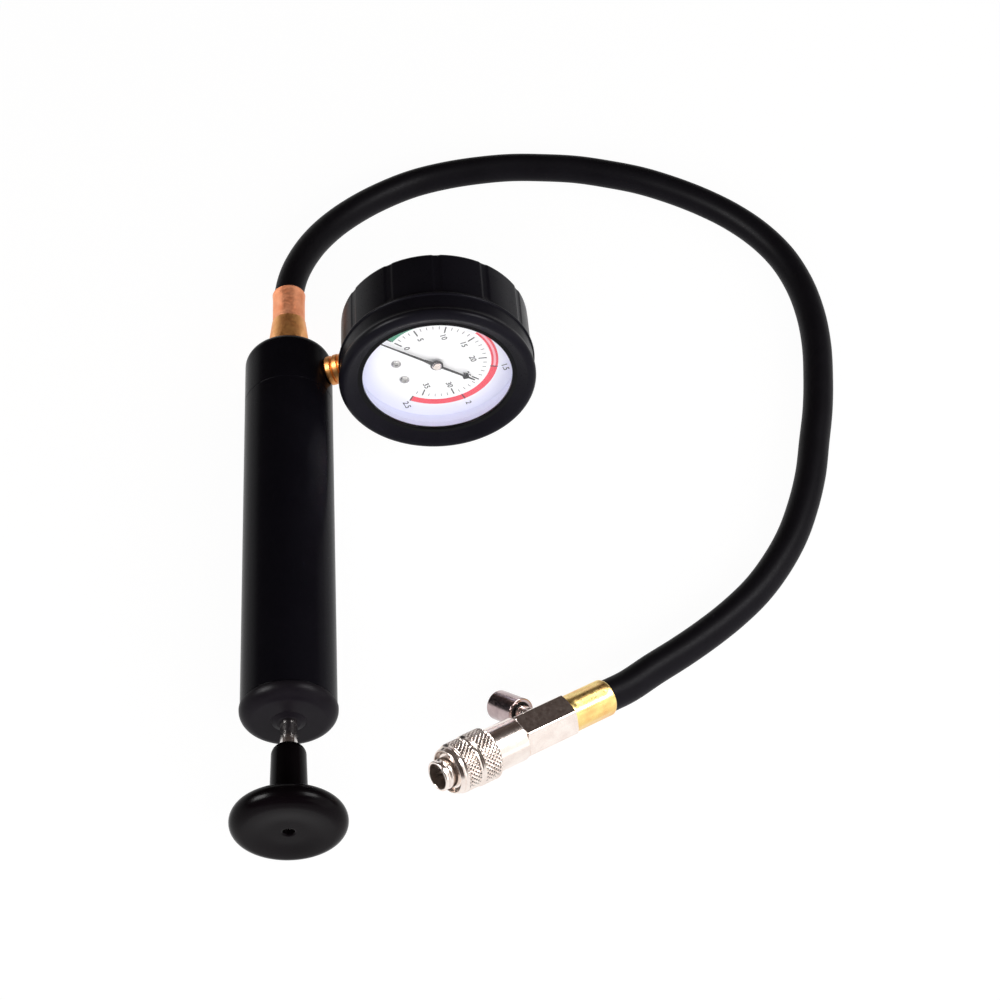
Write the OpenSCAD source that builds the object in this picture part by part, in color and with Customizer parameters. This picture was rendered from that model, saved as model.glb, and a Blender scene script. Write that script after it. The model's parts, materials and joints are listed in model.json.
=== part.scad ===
// Hand pump with a pressure gauge, a hose and a quick coupler, for testing cooling systems.
// Rest position: lying on a flat surface at z = 0, pump along Y with its knob at -Y.
// The pump frame has its origin at the end cap's face and z along the pump, towards the head.

/* [Pump] */
// Outside diameter of the barrel
barrel_d = 36; // [34:0.5:38]
// Wall of the barrel
barrel_wall = 1.5; // [1:0.1:2]
// Length from the end cap's face to the head's end
pump_l = 183; // [175:1:200]
// Length of the head outside the barrel
head_l = 26; // [25:0.5:32]
// Rounding of the head's rim
head_round = 5.5; // [3:0.1:6]
// Length of the spigots that the head and the end cap have inside the barrel
spigot_l = 10; // [9:0.5:12]
// Diameter of the end cap
cap_d = 36.8; // [36:0.1:40]
// Length of the end cap outside the barrel
cap_l = 6; // [5.6:0.1:8]
// Rounding of the end cap's rim
cap_round = 5; // [4:0.1:5.4]

/* [Plunger] */
// Diameter of the piston rod
rod_d = 6.5; // [6:0.1:7]
// Distance from the knob's face to the end cap's face
knob_out = 47.8; // [45:0.1:55]
// Diameter of the knob
knob_d = 42.6; // [36:0.1:46]
// Thickness of the knob's disc, with a fully rounded rim
knob_t = 9.7; // [8:0.1:11]
// Length of the knob's stem behind the disc
knob_stem_l = 27.1; // [25:0.1:28]
// Diameter of the knob's stem where it meets the disc
knob_stem_d = 14; // [12:0.1:16]
// Diameter of the knob's stem at its free end
knob_end_d = 13; // [11:0.1:14]
// Dish of the knob's face
knob_dish = 0.8; // [0.4:0.1:1.2]
// Depth of the screw hole in the knob's face
knob_hole_l = 3.5; // [3:0.1:4.5]
// Diameter of the rod guide's flange
guide_flange_d = 13; // [12:0.1:15]
// Diameter of the rod guide's body
guide_d = 10; // [9.5:0.1:11]
// Length of the piston body
piston_l = 9; // [8:0.5:11]
// Length of the piston cup
cup_l = 5; // [4:0.5:6]
// Distance from the piston nut to the head's spigot at rest
piston_gap = 3; // [2.8:0.1:5]

/* [Check valve] */
// Diameter of the valve seat
seat_d = 14; // [13:0.1:15]
// Thickness of the valve seat
seat_t = 3; // [2.5:0.1:4]
// Diameter of the poppet
poppet_d = 9; // [8:0.1:10]
// Diameter of the valve chamber
chamber_d = 11; // [10.6:0.1:12]
// Length of the valve chamber behind the seat
chamber_l = 12; // [11:0.5:13]
// Wire diameter of the valve spring
valve_wire = 0.7; // [0.5:0.1:0.9]

/* [Gauge] */
// Distance from the pump's axis to the gauge's axis
gauge_reach = 64.9; // [64:0.1:68]
// Distance from the boot's lip plane back to the head's end
lip_back = 37.4; // [37:0.1:41]
// Largest diameter of the rubber boot, at its lip
boot_d = 79.5; // [79:0.1:82]
// Thickness of the boot's wall round the bezel
boot_wall = 4.15; // [3.75:0.05:4.4]
// Depth of the boot
boot_l = 35.8; // [35:0.1:37]
// Thickness of the boot's back
boot_back = 3; // [2:0.1:3.5]
// Radius of the lip's rounding
lip_round = 2.5; // [2:0.1:3]
// Length of the boot's wide lip
lip_l = 12.5; // [11:0.1:14]
// Number of flutes round the boot
flute_count = 12; // [8:1:16]
// Radius of each flute
flute_r = 2; // [1.5:0.1:4]
// Depth of each flute
flute_depth = 0.9; // [0.6:0.1:1.2]
// Width of the bezel from the case's edge to the window
bezel_w = 3.3; // [2.8:0.1:4]
// Outside diameter of the gauge case
case_d = 67; // [66.6:0.1:67.6]
// Wall of the gauge case
case_wall = 0.9; // [0.7:0.1:1.2]
// Thickness of the window's lens
lens_t = 2; // [1.5:0.1:2.2]
// Distance from the lip plane to the dial's face
dial_depth = 12.9; // [12.4:0.1:13.2]
// Thickness of the dial plate
dial_t = 0.6; // [0.4:0.1:0.8]
// Angle of the dial's zero, anticlockwise from the side away from the pump
dial_zero = 129; // [126:1:136]
// Length of the pointer from the centre to its tip
pointer_l = 26.5; // [24:0.1:27]
// Length of the pointer's tail
pointer_tail = 18; // [15:0.1:19]
// Diameter of the adapter between pump and gauge
adapter_d = 11; // [10.4:0.1:11.6]
// Diameter of the gauge's stem
stem_d = 8; // [7.5:0.1:8.4]
// Distance from the lip plane to the stem's axis
stem_back = 23.4; // [23:0.1:23.8]

/* [Gauge movement] */
// Tooth size: pitch diameter over number of teeth
gear_module = 0.3; // [0.28:0.01:0.32]
// Teeth on the pinion
pinion_teeth = 12; // [12:1:13]
// Teeth that the sector would have as a full wheel
sector_teeth = 72; // [66:6:72]
// Pressure angle of the teeth
pressure_angle = 20; // [18:1:22]
// Swing of the sector over the gauge's whole range
sector_swing = 45; // [40:1:46]
// Direction of the sector's pivot seen from the pinion
sector_dir = -105; // [-108:1:-100]
// Distance from the sector's pivot to its tail pin
tail_r = 4.5; // [4:0.1:5]
// Distance between the link's two pins
link_l = 10; // [9.5:0.1:10.5]
// Radius of the bourdon tube's curve
tube_r = 24; // [23:0.1:25]
// Thickness of the flattened bourdon tube
tube_t = 3; // [2.4:0.1:3.4]
// Height of the flattened bourdon tube
tube_h = 9; // [8:0.1:9.6]
// Wall of the bourdon tube
tube_wall = 0.4; // [0.3:0.05:0.6]
// Distance from the dial's back to the front movement plate
front_gap = 3; // [2.5:0.1:3.5]
// Free height between the two movement plates
plate_gap = 6.4; // [6.2:0.1:7]
// Thickness of each movement plate
plate_t = 1.2; // [1:0.1:1.4]
// Diameter of the movement's arbors
arbor_d = 1.6; // [1.4:0.1:1.8]
// Diameter of the link's pins
pin_d = 1.2; // [1:0.1:1.3]

/* [Hose] */
// Outside diameter of the hose
hose_d = 12.5; // [12:0.1:12.6]
// Length of hose inside each ferrule
hose_grip = 12; // [10:0.5:14]
// Outside diameter of the pump's ferrule
ferrule_d = 14; // [13.6:0.1:15]
// Inside diameter of the ferrules
ferrule_bore = 12.8; // [12.8:0.1:13]
// Length of the pump's ferrule
ferrule_l = 17.7; // [16:0.1:20]
// Length of the hose fitting's hexagon
fitting_hex_l = 13; // [10:0.5:14]
// Width across the flats of the hose fitting
fitting_af = 16.2; // [16:0.1:18]
// Length of the cone between hexagon and ferrule
fitting_cone_l = 6.8; // [5:0.1:8]

/* [Coupler] */
// Outside diameter of the coupler's ferrule
coupler_ferrule_d = 14.2; // [13.6:0.1:15]
// Length of the coupler's ferrule
coupler_ferrule_l = 19.5; // [18:0.1:22]
// Width across the flats of the coupler's hexagon
coupler_af = 17; // [16:0.1:18]
// Length of the coupler's hexagon
coupler_hex_l = 20; // [19:0.1:21]
// Diameter of the smooth body in front of the hexagon
body_d = 16.6; // [16.2:0.1:16.8]
// Length from the hexagon to the nose's front
front_l = 39; // [38.5:0.1:40]
// Diameter of the nose
nose_d = 11.4; // [11.2:0.1:11.8]
// Length of the nose that stands out of the sleeve
nose_l = 4.5; // [4:0.1:5]
// Diameter of the socket in the nose
socket_d = 9.6; // [9.2:0.1:9.8]
// Length of the socket's close bore
socket_l = 6.5; // [6:0.1:7]
// Diameter of the sleeve's rear knurl
sleeve_d = 19.6; // [19.4:0.1:21]
// Diameter of the sleeve's front knurl
sleeve_front_d = 18.9; // [18.7:0.1:19.2]
// Length of the sleeve
sleeve_l = 18.1; // [18:0.1:18.4]
// Travel of the sleeve
sleeve_travel = 5; // [4:0.1:5.2]
// Diameter of the locking balls
ball_d = 2.4; // [2.2:0.1:2.6]
// Number of locking balls
ball_count = 6; // [4:1:6]

/* [Release valve] */
// Distance from the coupler's mouth to the valve's axis
release_z = 27; // [26.5:0.1:29]
// Turn of the valve round the coupler
release_roll = -58.5; // [-62:0.5:-55]
// Outside diameter of the release knob
release_d = 11.4; // [11:0.1:12]
// Length of the release knob
release_l = 14.2; // [13.6:0.1:15]
// Distance from the coupler's axis to the release knob's outer end
release_far = 31; // [30.6:0.1:32]
// Diameter of the valve's stem
release_stem_d = 6.5; // [6.2:0.1:6.8]
// Travel of the release knob
release_travel = 3; // [2:0.1:3.2]

/* [Lay] */
// Place of the coupler's mouth along X
coupler_x = 77.4; // [77:0.1:78]
// Place of the coupler's mouth along Y
coupler_y = -78.1; // [-79:0.1:-77.5]
// Upward pitch of the coupler
coupler_pitch = 12.9; // [12:0.1:14]
// Direction of the coupler's nose
coupler_yaw = 213.3; // [212:0.1:215]

/* [Hidden] */
$fn = 64;
joint_gap = 0.05; // radial clearance of running and screwed fits
slide_gap = 0.3; // clearance between pieces of different bodies
cut = 1; // overlap that a cut takes past a face
barrel_r = barrel_d / 2;
bore_r = barrel_r - barrel_wall;
knob_r = knob_d / 2;
rim_r = knob_t / 2;
knob_pit_d = 4.4; // screw hole in the knob's face
knob_end_round = 3.8;
screw_core_d = 2.6;
screw_grip = 10; // length of a knob screw in the rod
cap_chamfer = 0.6;
bush_tail = 2; // length of the rod guide past the end cap's spigot
guide_lip = 0.8; // how far the guide's flange stands out
o_ring_d = 2; // section of the head seal
rod_seal_t = 1.5; // wall of the rod seal
fitting_port_d = 8;
passage_d = 4;
thread_l = 9;

// The pump lies on the knob's rim and on the head's rounded end
knob_lay_z = -(knob_out - rim_r);
head_lay_z = pump_l - head_round;
lay_l = head_lay_z - knob_lay_z;
lay_drop = (knob_r - rim_r) - (barrel_r - head_round);
tilt = atan2(lay_drop, lay_l) - asin((head_round - rim_r) / norm([lay_l, lay_drop]));
axis_z = (barrel_r - head_round) * cos(tilt) + head_round + head_lay_z * sin(tilt);

// The gauge leans over until its boot rests too
boot_r = boot_d / 2;
lip_z = pump_l - lip_back;
gauge_roll = asin((boot_r * cos(tilt) - axis_z + (lip_z + lip_l) * sin(tilt))
    / (gauge_reach * cos(tilt)));

// The origin is the middle of the floor under everything but the hose and what hangs on it
fitting_end = pump_l + fitting_hex_l + fitting_cone_l;
ferrule_end = fitting_end + ferrule_l;
origin_x = (gauge_reach * cos(gauge_roll) + boot_r - knob_r) / 2;
low_y = knob_lay_z * cos(tilt) - (knob_r - rim_r) * sin(tilt) - rim_r;
high_y = ferrule_end * cos(tilt) + ferrule_d / 2 * sin(tilt);
origin_y = (low_y + high_y) / 2;

// Plunger: z places in the pump frame
head_z = pump_l - head_l;
spigot_z = head_z - spigot_l;
nut_t = 3;
nut_af = 10;
nut_z = spigot_z - piston_gap - nut_t;
cup_z = nut_z - cup_l;
piston_z = cup_z - piston_l;
rod_end_z = nut_z + nut_t;
rod_start_z = -knob_out + knob_hole_l + knob_dish + 3;
knob_back_z = -knob_out + knob_t;
knob_end_z = knob_back_z + knob_stem_l;
rod_thread_d = 5;

// Check valve
poppet_t = 2.4;
poppet_stem_d = 3;
poppet_stem_l = 6.5;
poppet_lift = 1.5;
seat_hole_d = 4;
chamber_z = spigot_z + seat_t;
adapter_z = lip_z + stem_back;

// Gauge: heights in the gauge frame, whose z looks out of the dial, with the lip plane at 0
lens_front = -3.7;
lens_r = case_d / 2 - 0.2;
gasket_t = 0.8;
case_front = lens_front - lens_t - gasket_t;
case_back = -(boot_l - boot_back);
bezel_t = 1;
bezel_wall = 0.7;
bezel_l = 7;
bezel_front = lens_front + bezel_t;
dial_front = -dial_depth;
dial_back = dial_front - dial_t;
dial_r = case_d / 2 - case_wall - 0.2;
plate_front = dial_back - front_gap;
plate_back = plate_front - plate_t - plate_gap;
wheel_t = 1.5;
wheel_front = plate_front - plate_t - 2;
link_t = 0.9;
link_front = wheel_front + 0.2 + link_t;
spring_front = wheel_front - wheel_t - 0.6;
spring_h = 0.8;
tube_mid = plate_front - plate_t - plate_gap / 2;
pointer_front = dial_front + 2.2;
pointer_t = 0.4;
screw_r = 16.5; // radius of the dial screws
screw_angle = 17.5; // their angle to each side of the stem
block_near = 20; // the socket block, from its inner face
block_far = case_d / 2 - case_wall - 0.5;
block_w = 10;
block_front = plate_front - plate_t - 0.3;
block_back = -(stem_back + stem_d / 2 + 1.2);
seat_l = 8; // the block's ledge under the back plate
window_r = case_d / 2 - bezel_w;
boot_bore_r = case_d / 2 + bezel_wall + 0.15;
boot_body_r = boot_bore_r + boot_wall;
boot_mouth_r = window_r + 1.6;
back_rim = 22.3; // width of the boot's back round its hole
adapter_slot = adapter_d / 2 + 0.4;

// Movement
pinion_r = gear_module * pinion_teeth / 2;
sector_r = gear_module * sector_teeth / 2;
centre_l = pinion_r + sector_r;
gear_ratio = sector_teeth / pinion_teeth;
backlash = 0.07; // taken off each tooth's thickness at the pitch circle
tip_height = 0.75; // tooth heights in modules
root_depth = 1.15;
tooth_pitch = 360 / sector_teeth;
sector_half = ceil((sector_swing / 2 + 8) / tooth_pitch);
sector_pivot = centre_l * [cos(sector_dir), sin(sector_dir)];
rest_swing = -sector_swing / 2;
tail_dir = sector_dir + rest_swing;
tail_pin = sector_pivot + tail_r * [cos(tail_dir), sin(tail_dir)];
pull_dir = sector_dir + 90;
tip_pin = tail_pin + link_l * [cos(pull_dir), sin(pull_dir)];
open_gap = 0.45; // play of the link's eye on the tube's tip pin
tip_dir = atan2(tip_pin[1], tip_pin[0]);
tip_span = 8; // angle that the tip block takes
tube_end = tip_dir + tip_span / 2 + 0.15;
ear_w = 2.4;
ear_t = 1.2;
post_d = 2.6;
free_post = [6, 5];
collet_r = 1.5;
hair_pitch = 1;
hair_turns = 3.25;
hair_w = 0.3;
hair_r = collet_r + 0.4;
plate_rim = 1.35; // what the movement plates have past the hairspring

// Coupler: heights in the coupler frame, whose z runs from the hose to the nose
hex_z = coupler_ferrule_l;
hex_front = hex_z + coupler_hex_l;
nose_front = hex_front + front_l;
sleeve_front = nose_front - nose_l;
sleeve_back = sleeve_front - sleeve_l;
core_r = 6.7; // outside of the coupler's tube under the sleeve
flange_front = sleeve_front - 4;
flange_back = sleeve_front - 7.5;
body_front = flange_back - sleeve_travel - 3.5;
core_front = sleeve_front - 1;
inner_r = socket_d / 2 + 0.3;
socket_end = nose_front - socket_l;
ball_z = flange_front - 1.7;
ring_t = 0.8;
seal_z = ball_z - 5;
inner_end = seal_z - 3;
socket_seal_l = 2.2; // the seal's length and the depth of its groove
socket_seal_t = 1.1;
nipple_d = 9;
nipple_l = 8;

// Release valve: heights in the release frame, whose z leaves the coupler's axis
release_near = release_far - release_l;
release_top = release_near + 7.4;
release_seat = coupler_af / 2 - 0.3; // where the valve's stem sits on the hexagon
release_flange_t = 1.2;
release_pin_d = 2.4;
release_wall = 1.2;
release_lip_t = 1;
release_rise = cos(release_roll) * cos(coupler_pitch);
coupler_z = (release_far - cap_chamfer) * release_rise
    + release_d / 2 * sqrt(1 - release_rise * release_rise) - release_z * sin(coupler_pitch);

// The hose's route as it lies, from the pump's ferrule round to the coupler
function pump_point(z) = [-origin_x, z * cos(tilt) - origin_y, axis_z - z * sin(tilt)];
coupler_dir = [cos(coupler_pitch) * cos(coupler_yaw), cos(coupler_pitch) * sin(coupler_yaw),
    sin(coupler_pitch)];
coupler_mouth = [coupler_x, coupler_y, coupler_z];
lying = [[-38.5, 143.3, 17.1], [-32, 163, 15], [-22.5, 180, 12], [-10.5, 194, 9.5],
    [2.5, 205, 7.5], [16.5, 213, 6.5], [31, 217.5, 6.3], [46, 220, 6.3], [61, 221, 6.3],
    [76, 220, 6.3], [90.5, 218, 6.3], [105, 214, 6.3], [119, 209, 6.3], [132.5, 202, 6.3],
    [145.5, 193.5, 6.3], [157.5, 183.5, 6.3], [168, 171.5, 6.3], [176.5, 157, 6.3],
    [182, 140, 6.3], [184.5, 122, 6.3], [184.5, 103, 6.3], [182.5, 84.5, 6.3],
    [179.5, 66, 6.3], [175.5, 48.5, 6.3], [171.5, 31.5, 6.3], [166, 15, 6.3],
    [159.5, 0, 6.3], [151.5, -13.5, 6.3], [142, -26, 6.3], [131.5, -36.5, 6.5],
    [120.5, -46, 7.3], [109, -55, 8.5], [97.5, -63.5, 10.2]];
route = concat([pump_point(ferrule_end - hose_grip), pump_point(ferrule_end)], lying,
    [coupler_mouth - coupler_dir * hose_d * 0.8, coupler_mouth, coupler_mouth + coupler_dir * hose_grip]);

// Frames
module pump_frame() {
    translate([-origin_x, -origin_y, axis_z]) rotate([-90 - tilt, 0, 0]) children();
}

module gauge_frame() {
    pump_frame() rotate([0, 0, -gauge_roll]) translate([gauge_reach, 0, lip_z])
        rotate([180, 0, 0]) children();
}

// From the pump's axis towards the gauge, at the height of the gauge's stem
module stem_frame() {
    pump_frame() rotate([0, 0, -gauge_roll]) translate([0, 0, adapter_z])
        rotate([0, 90, 0]) children();
}

module coupler_frame() {
    translate([coupler_x, coupler_y, coupler_z]) rotate([0, 90 - coupler_pitch, coupler_yaw])
        children();
}

module release_frame() {
    coupler_frame() translate([0, 0, release_z]) rotate([0, 0, release_roll])
        rotate([0, 90, 0]) children();
}

// Shared shapes
module rod(z0, z1, d) {
    translate([0, 0, z0]) cylinder(d = d, h = z1 - z0);
}

module hex_rod(z0, z1, af) {
    translate([0, 0, z0]) cylinder(d = af / cos(30), h = z1 - z0, $fn = 6);
}

module tube(z0, z1, d, bore) {
    difference() {
        rod(z0, z1, d);
        rod(z0 - cut, z1 + cut, bore);
    }
}

module o_ring(z, r) {
    translate([0, 0, z]) rotate_extrude() translate([r, 0]) circle(d = o_ring_d, $fn = 32);
}

// A hexagon whose corners are turned off by a cone at its far end
module hex_nut(z0, z1, af, chamfer) {
    big = af / cos(30);
    intersection() {
        hex_rod(z0, z1, af);
        union() {
            rod(z0 - cut, z1 - chamfer, big + 2);
            translate([0, 0, z1 - chamfer])
                cylinder(d1 = big, d2 = big - 2 * (big - af), h = chamfer);
        }
    }
}

function unit(v) = v / norm(v);
function along(path, i) =
    unit(path[min(i + 1, len(path) - 1)] - path[max(i - 1, 0)]);
function ring(path, i, r, sides) =
    let (t = along(path, i), side = unit(cross(t, [0, 0, 1])), up = cross(side, t))
    [for (k = [0:sides - 1]) path[i] + r * (cos(360 * k / sides) * side + sin(360 * k / sides) * up)];

// A round bar of the given radius along a path
module sweep(path, r, sides) {
    last = len(path) - 1;
    points = [for (i = [0:last]) each ring(path, i, r, sides)];
    walls = [for (i = [0:last - 1], k = [0:sides - 1])
        let (a = i * sides + k, b = i * sides + (k + 1) % sides)
        each [[a, b, b + sides], [a, b + sides, a + sides]]];
    start = [for (k = [sides - 1:-1:0]) k];
    end = [for (k = [0:sides - 1]) last * sides + k];
    polyhedron(points, concat([start], walls, [end]));
}

// An open coil from z0 to z1 round the z axis
module coil(z0, z1, r, wire, turns) {
    steps = turns * 10;
    rise = z1 - z0 - wire;
    sweep([for (i = [0:steps]) [r * cos(36 * i), r * sin(36 * i), z0 + wire / 2 + rise * i / steps]],
        wire / 2, 6);
}

// Pump
module barrel() {
    color("black") pump_frame() tube(cap_l, head_z, barrel_d, 2 * bore_r);
}

module head_outline() {
    translate([0, head_z]) square([barrel_r, head_l - head_round]);
    translate([0, head_z]) square([barrel_r - head_round, head_l]);
    translate([barrel_r - head_round, pump_l - head_round]) circle(r = head_round);
    translate([0, spigot_z]) square([bore_r, spigot_l + cut]);
}

module pump_head() {
    color("black") difference() {
        pump_frame() difference() {
            rotate_extrude() head_outline();
            tube(spigot_z + (spigot_l - o_ring_d) / 2 - joint_gap,
                spigot_z + (spigot_l + o_ring_d) / 2 + joint_gap, 2 * (bore_r + cut),
                2 * (bore_r - o_ring_d - 2 * joint_gap));
            rod(spigot_z - cut, chamber_z, seat_d);
            rod(chamber_z - cut, chamber_z + chamber_l, chamber_d);
            rod(chamber_z, pump_l, passage_d);
            rod(pump_l - thread_l, pump_l + cut, fitting_port_d + 2 * joint_gap);
        }
        stem_frame() rod(0, barrel_r, passage_d);
        stem_frame() rod(barrel_r - thread_l, barrel_r + cut, stem_d + 2 * joint_gap);
    }
}

module head_seal() {
    color("dimgray") pump_frame() o_ring(spigot_z + spigot_l / 2, bore_r - o_ring_d / 2 - joint_gap);
}

module cap_outline() {
    square([cap_d / 2 - cap_round, cap_l]);
    translate([0, cap_round]) square([cap_d / 2, cap_l - cap_round]);
    intersection() {
        translate([cap_d / 2 - cap_round, cap_round]) circle(r = cap_round);
        square([cap_d / 2 + cut, cap_round + cut]);
    }
    translate([0, cap_l - cut]) square([bore_r, spigot_l + cut]);
}

module end_cap() {
    vent_r = (guide_flange_d / 2 + bore_r) / 2;
    color("black") pump_frame() difference() {
        rotate_extrude() cap_outline();
        rod(-cut, cap_l + spigot_l + cut, guide_d);
        rod(-cut, guide_lip, guide_flange_d);
        for (side = [-1, 1]) translate([0, side * vent_r, 0]) rod(cap_l, cap_l + spigot_l + cut, 3);
    }
}

module rod_guide() {
    color("dimgray") pump_frame() difference() {
        union() {
            rod(-guide_lip, guide_lip, guide_flange_d);
            rod(0, cap_l + spigot_l + bush_tail, guide_d);
        }
        rod(-guide_lip - cut, cap_l + spigot_l + bush_tail + cut, rod_d + 2 * joint_gap);
        rod(cap_l, cap_l + o_ring_d, rod_d + 2 * rod_seal_t);
    }
}

module rod_seal() {
    color("dimgray") pump_frame()
        tube(cap_l + joint_gap, cap_l + o_ring_d - joint_gap, rod_d + 2 * rod_seal_t - 2 * joint_gap,
            rod_d + 2 * joint_gap);
}

// Plunger
module piston_rod() {
    color("silver") pump_frame() difference() {
        union() {
            rod(rod_start_z, piston_z, rod_d);
            rod(piston_z - cut, rod_end_z, rod_thread_d);
        }
        rod(rod_start_z - cut, rod_start_z + screw_grip, screw_core_d);
    }
}

module piston() {
    color("silver") pump_frame() difference() {
        rod(piston_z, cup_z, 2 * (bore_r - slide_gap));
        translate([0, 0, piston_z + piston_l / 2]) rotate_extrude()
            translate([bore_r - slide_gap, 0]) circle(r = piston_l / 4, $fn = 32);
        rod(piston_z - cut, cup_z + cut, rod_thread_d);
    }
}

module piston_cup() {
    color("dimgray") pump_frame() difference() {
        union() {
            rod(cup_z, nut_z, 2 * (bore_r - 2 * slide_gap));
            translate([0, 0, nut_z - 2]) cylinder(r1 = bore_r - 2 * slide_gap,
                r2 = bore_r - joint_gap, h = 2);
        }
        translate([0, 0, cup_z + cup_l / 2]) cylinder(r1 = bore_r - 5, r2 = bore_r - 2, h = cup_l);
        rod(cup_z - cut, nut_z + cut, rod_thread_d);
    }
}

module piston_nut() {
    nut_seat_z = cup_z + cup_l / 2;
    color("silver") pump_frame() difference() {
        hex_nut(nut_seat_z, rod_end_z, nut_af, 1);
        rod(nut_seat_z - cut, rod_end_z + cut, rod_thread_d);
    }
}

module knob_outline() {
    face = -knob_out;
    difference() {
        union() {
            translate([0, face]) square([knob_r - rim_r, knob_t]);
            translate([knob_r - rim_r, face + rim_r]) circle(r = rim_r);
            polygon([[0, face + rim_r], [knob_stem_d / 2 + 4, face + rim_r],
                [knob_stem_d / 2 + 3, knob_back_z], [knob_stem_d / 2 + 0.6, knob_back_z + 1.4],
                [knob_stem_d / 2, knob_back_z + 4],
                [knob_end_d / 2, knob_end_z - knob_end_round],
                [knob_end_d / 2 - knob_end_round, knob_end_z], [0, knob_end_z]]);
            translate([knob_end_d / 2 - knob_end_round, knob_end_z - knob_end_round])
                circle(r = knob_end_round);
        }
        polygon([[0, face - cut], [knob_r - rim_r, face - cut], [knob_r - rim_r, face],
            [knob_r - rim_r - 2, face + knob_dish * 0.7], [knob_r / 3, face + knob_dish],
            [0, face + knob_dish]]);
    }
}

module push_knob() {
    color("black") pump_frame() difference() {
        rotate_extrude() intersection() {
            knob_outline();
            translate([0, -knob_out - cut]) square([knob_r + cut, knob_out + cut]);
        }
        rod(-knob_out - cut, rod_start_z - 2.5, knob_pit_d);
        rod(-knob_out, rod_start_z + cut, screw_core_d);
        rod(rod_start_z, knob_end_z + cut, rod_d);
    }
}

module knob_screw() {
    color("silver") pump_frame() union() {
        rod(rod_start_z - 4.5, rod_start_z - 2.5, knob_pit_d - 2 * joint_gap);
        rod(rod_start_z - 3, rod_start_z + screw_grip - 1, screw_core_d);
    }
}

// Check valve in the head
module check_valve_seat() {
    color("gold") pump_frame() tube(spigot_z, chamber_z, seat_d, seat_hole_d);
}

module check_valve_poppet() {
    face = chamber_z + joint_gap;
    color("darkgoldenrod") pump_frame() union() {
        rod(face, face + poppet_t, poppet_d);
        rod(face + poppet_t - cut, face + poppet_t + poppet_stem_l, poppet_stem_d);
    }
}

module check_valve_spring() {
    color("silver") pump_frame() coil(chamber_z + poppet_t + 2 * joint_gap,
        chamber_z + chamber_l - joint_gap, poppet_d / 2 - 1.2, valve_wire, 6);
}

// Gauge
module gauge_adapter() {
    far = gauge_reach - case_d / 2 - 0.3;
    body = adapter_d / 2;
    color("gold") stem_frame() difference() {
        union() {
            rod(barrel_r - thread_l, barrel_r + cut, stem_d);
            rotate_extrude() polygon([[0, barrel_r], [body - 0.6, barrel_r], [body, barrel_r + 0.6],
                [body, barrel_r + 2.4], [body - 0.9, barrel_r + 3], [body - 0.9, barrel_r + 3.6],
                [body, barrel_r + 4.2], [body, barrel_r + 6], [body - 0.9, barrel_r + 6.6],
                [body - 0.9, barrel_r + 7.2], [body, barrel_r + 7.8], [body, far], [0, far]]);
        }
        rod(barrel_r - thread_l - cut, far, passage_d);
        rod(barrel_r + 4, far + cut, stem_d + 2 * joint_gap);
    }
}

module socket_block() {
    translate([-block_far, -block_w / 2, block_back])
        cube([block_far - block_near, block_w, block_front - block_back]);
}

module gauge_socket() {
    color("gold") difference() {
        union() {
            gauge_frame() socket_block();
            gauge_frame() translate([-block_near - cut, -block_w / 2, block_back])
                cube([seat_l + cut, block_w, plate_back - plate_t - block_back]);
            stem_frame() rod(barrel_r + 4.2, gauge_reach - block_near - cut, stem_d);
        }
        stem_frame() rod(barrel_r, gauge_reach - tube_r, 2.5);
        gauge_frame() translate([-tube_r, 0, 0]) rod(-stem_back, tube_mid, 1.8);
        gauge_frame() translate([-tube_r, 0, tube_mid]) rotate([-90, 0, 0])
            cylinder(d = 1.8, h = block_w);
        gauge_frame() for (side = [-1, 1]) translate([-block_near + seat_l / 2, side * 3, 0])
            rod(block_back - cut, plate_back, 1.6);
    }
}

module gauge_case() {
    color("dimgray") difference() {
        gauge_frame() difference() {
            rod(case_back, case_front, case_d);
            rod(case_back + case_wall, case_front + cut, case_d - 2 * case_wall);
        }
        stem_frame() rod(barrel_r, gauge_reach - block_near, stem_d + 2 * joint_gap);
    }
}

module gauge_bezel() {
    out = case_d / 2 + bezel_wall;
    color("black") gauge_frame() rotate_extrude() polygon([[window_r, bezel_front],
        [out - 0.5, bezel_front], [out, bezel_front - 0.5], [out, bezel_front - bezel_l],
        [case_d / 2, bezel_front - bezel_l], [case_d / 2, bezel_front - bezel_t],
        [window_r + 0.4, bezel_front - bezel_t], [window_r, bezel_front - bezel_t + 0.4]]);
}

module gauge_lens() {
    color("lightblue", 0.3) gauge_frame() rod(lens_front - lens_t, lens_front, 2 * lens_r);
}

module lens_gasket() {
    color("dimgray") gauge_frame() tube(case_front, case_front + gasket_t, 2 * lens_r,
        case_d - 2 * case_wall - 1);
}

module dial_screw_places() {
    for (side = [-1, 1]) rotate(180 + side * screw_angle) translate([screw_r, 0, 0]) children();
}

module dial_plate() {
    color("white") gauge_frame() difference() {
        rod(dial_back, dial_front, 2 * dial_r);
        rod(dial_back - cut, dial_front + cut, 3);
        dial_screw_places() rod(dial_back - cut, dial_front + cut, 2);
    }
}

module dial_screws() {
    color("silver") gauge_frame() dial_screw_places() difference() {
        union() {
            rod(dial_front, dial_front + 0.8, 4);
            rod(dial_back - 2, dial_front + 0.1, 1.8);
        }
        translate([-0.3, -cut - 2, dial_front + 0.4]) cube([0.6, 2 * cut + 4, 1]);
    }
}

// The tube's section, flattened, round its middle height
module flat_section(t, h) {
    side = t / 3;
    polygon([[-t / 2, -h / 2 + side], [-t / 2 + side, -h / 2], [t / 2 - side, -h / 2],
        [t / 2, -h / 2 + side], [t / 2, h / 2 - side], [t / 2 - side, h / 2],
        [-t / 2 + side, h / 2], [-t / 2, h / 2 - side]]);
}

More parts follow.
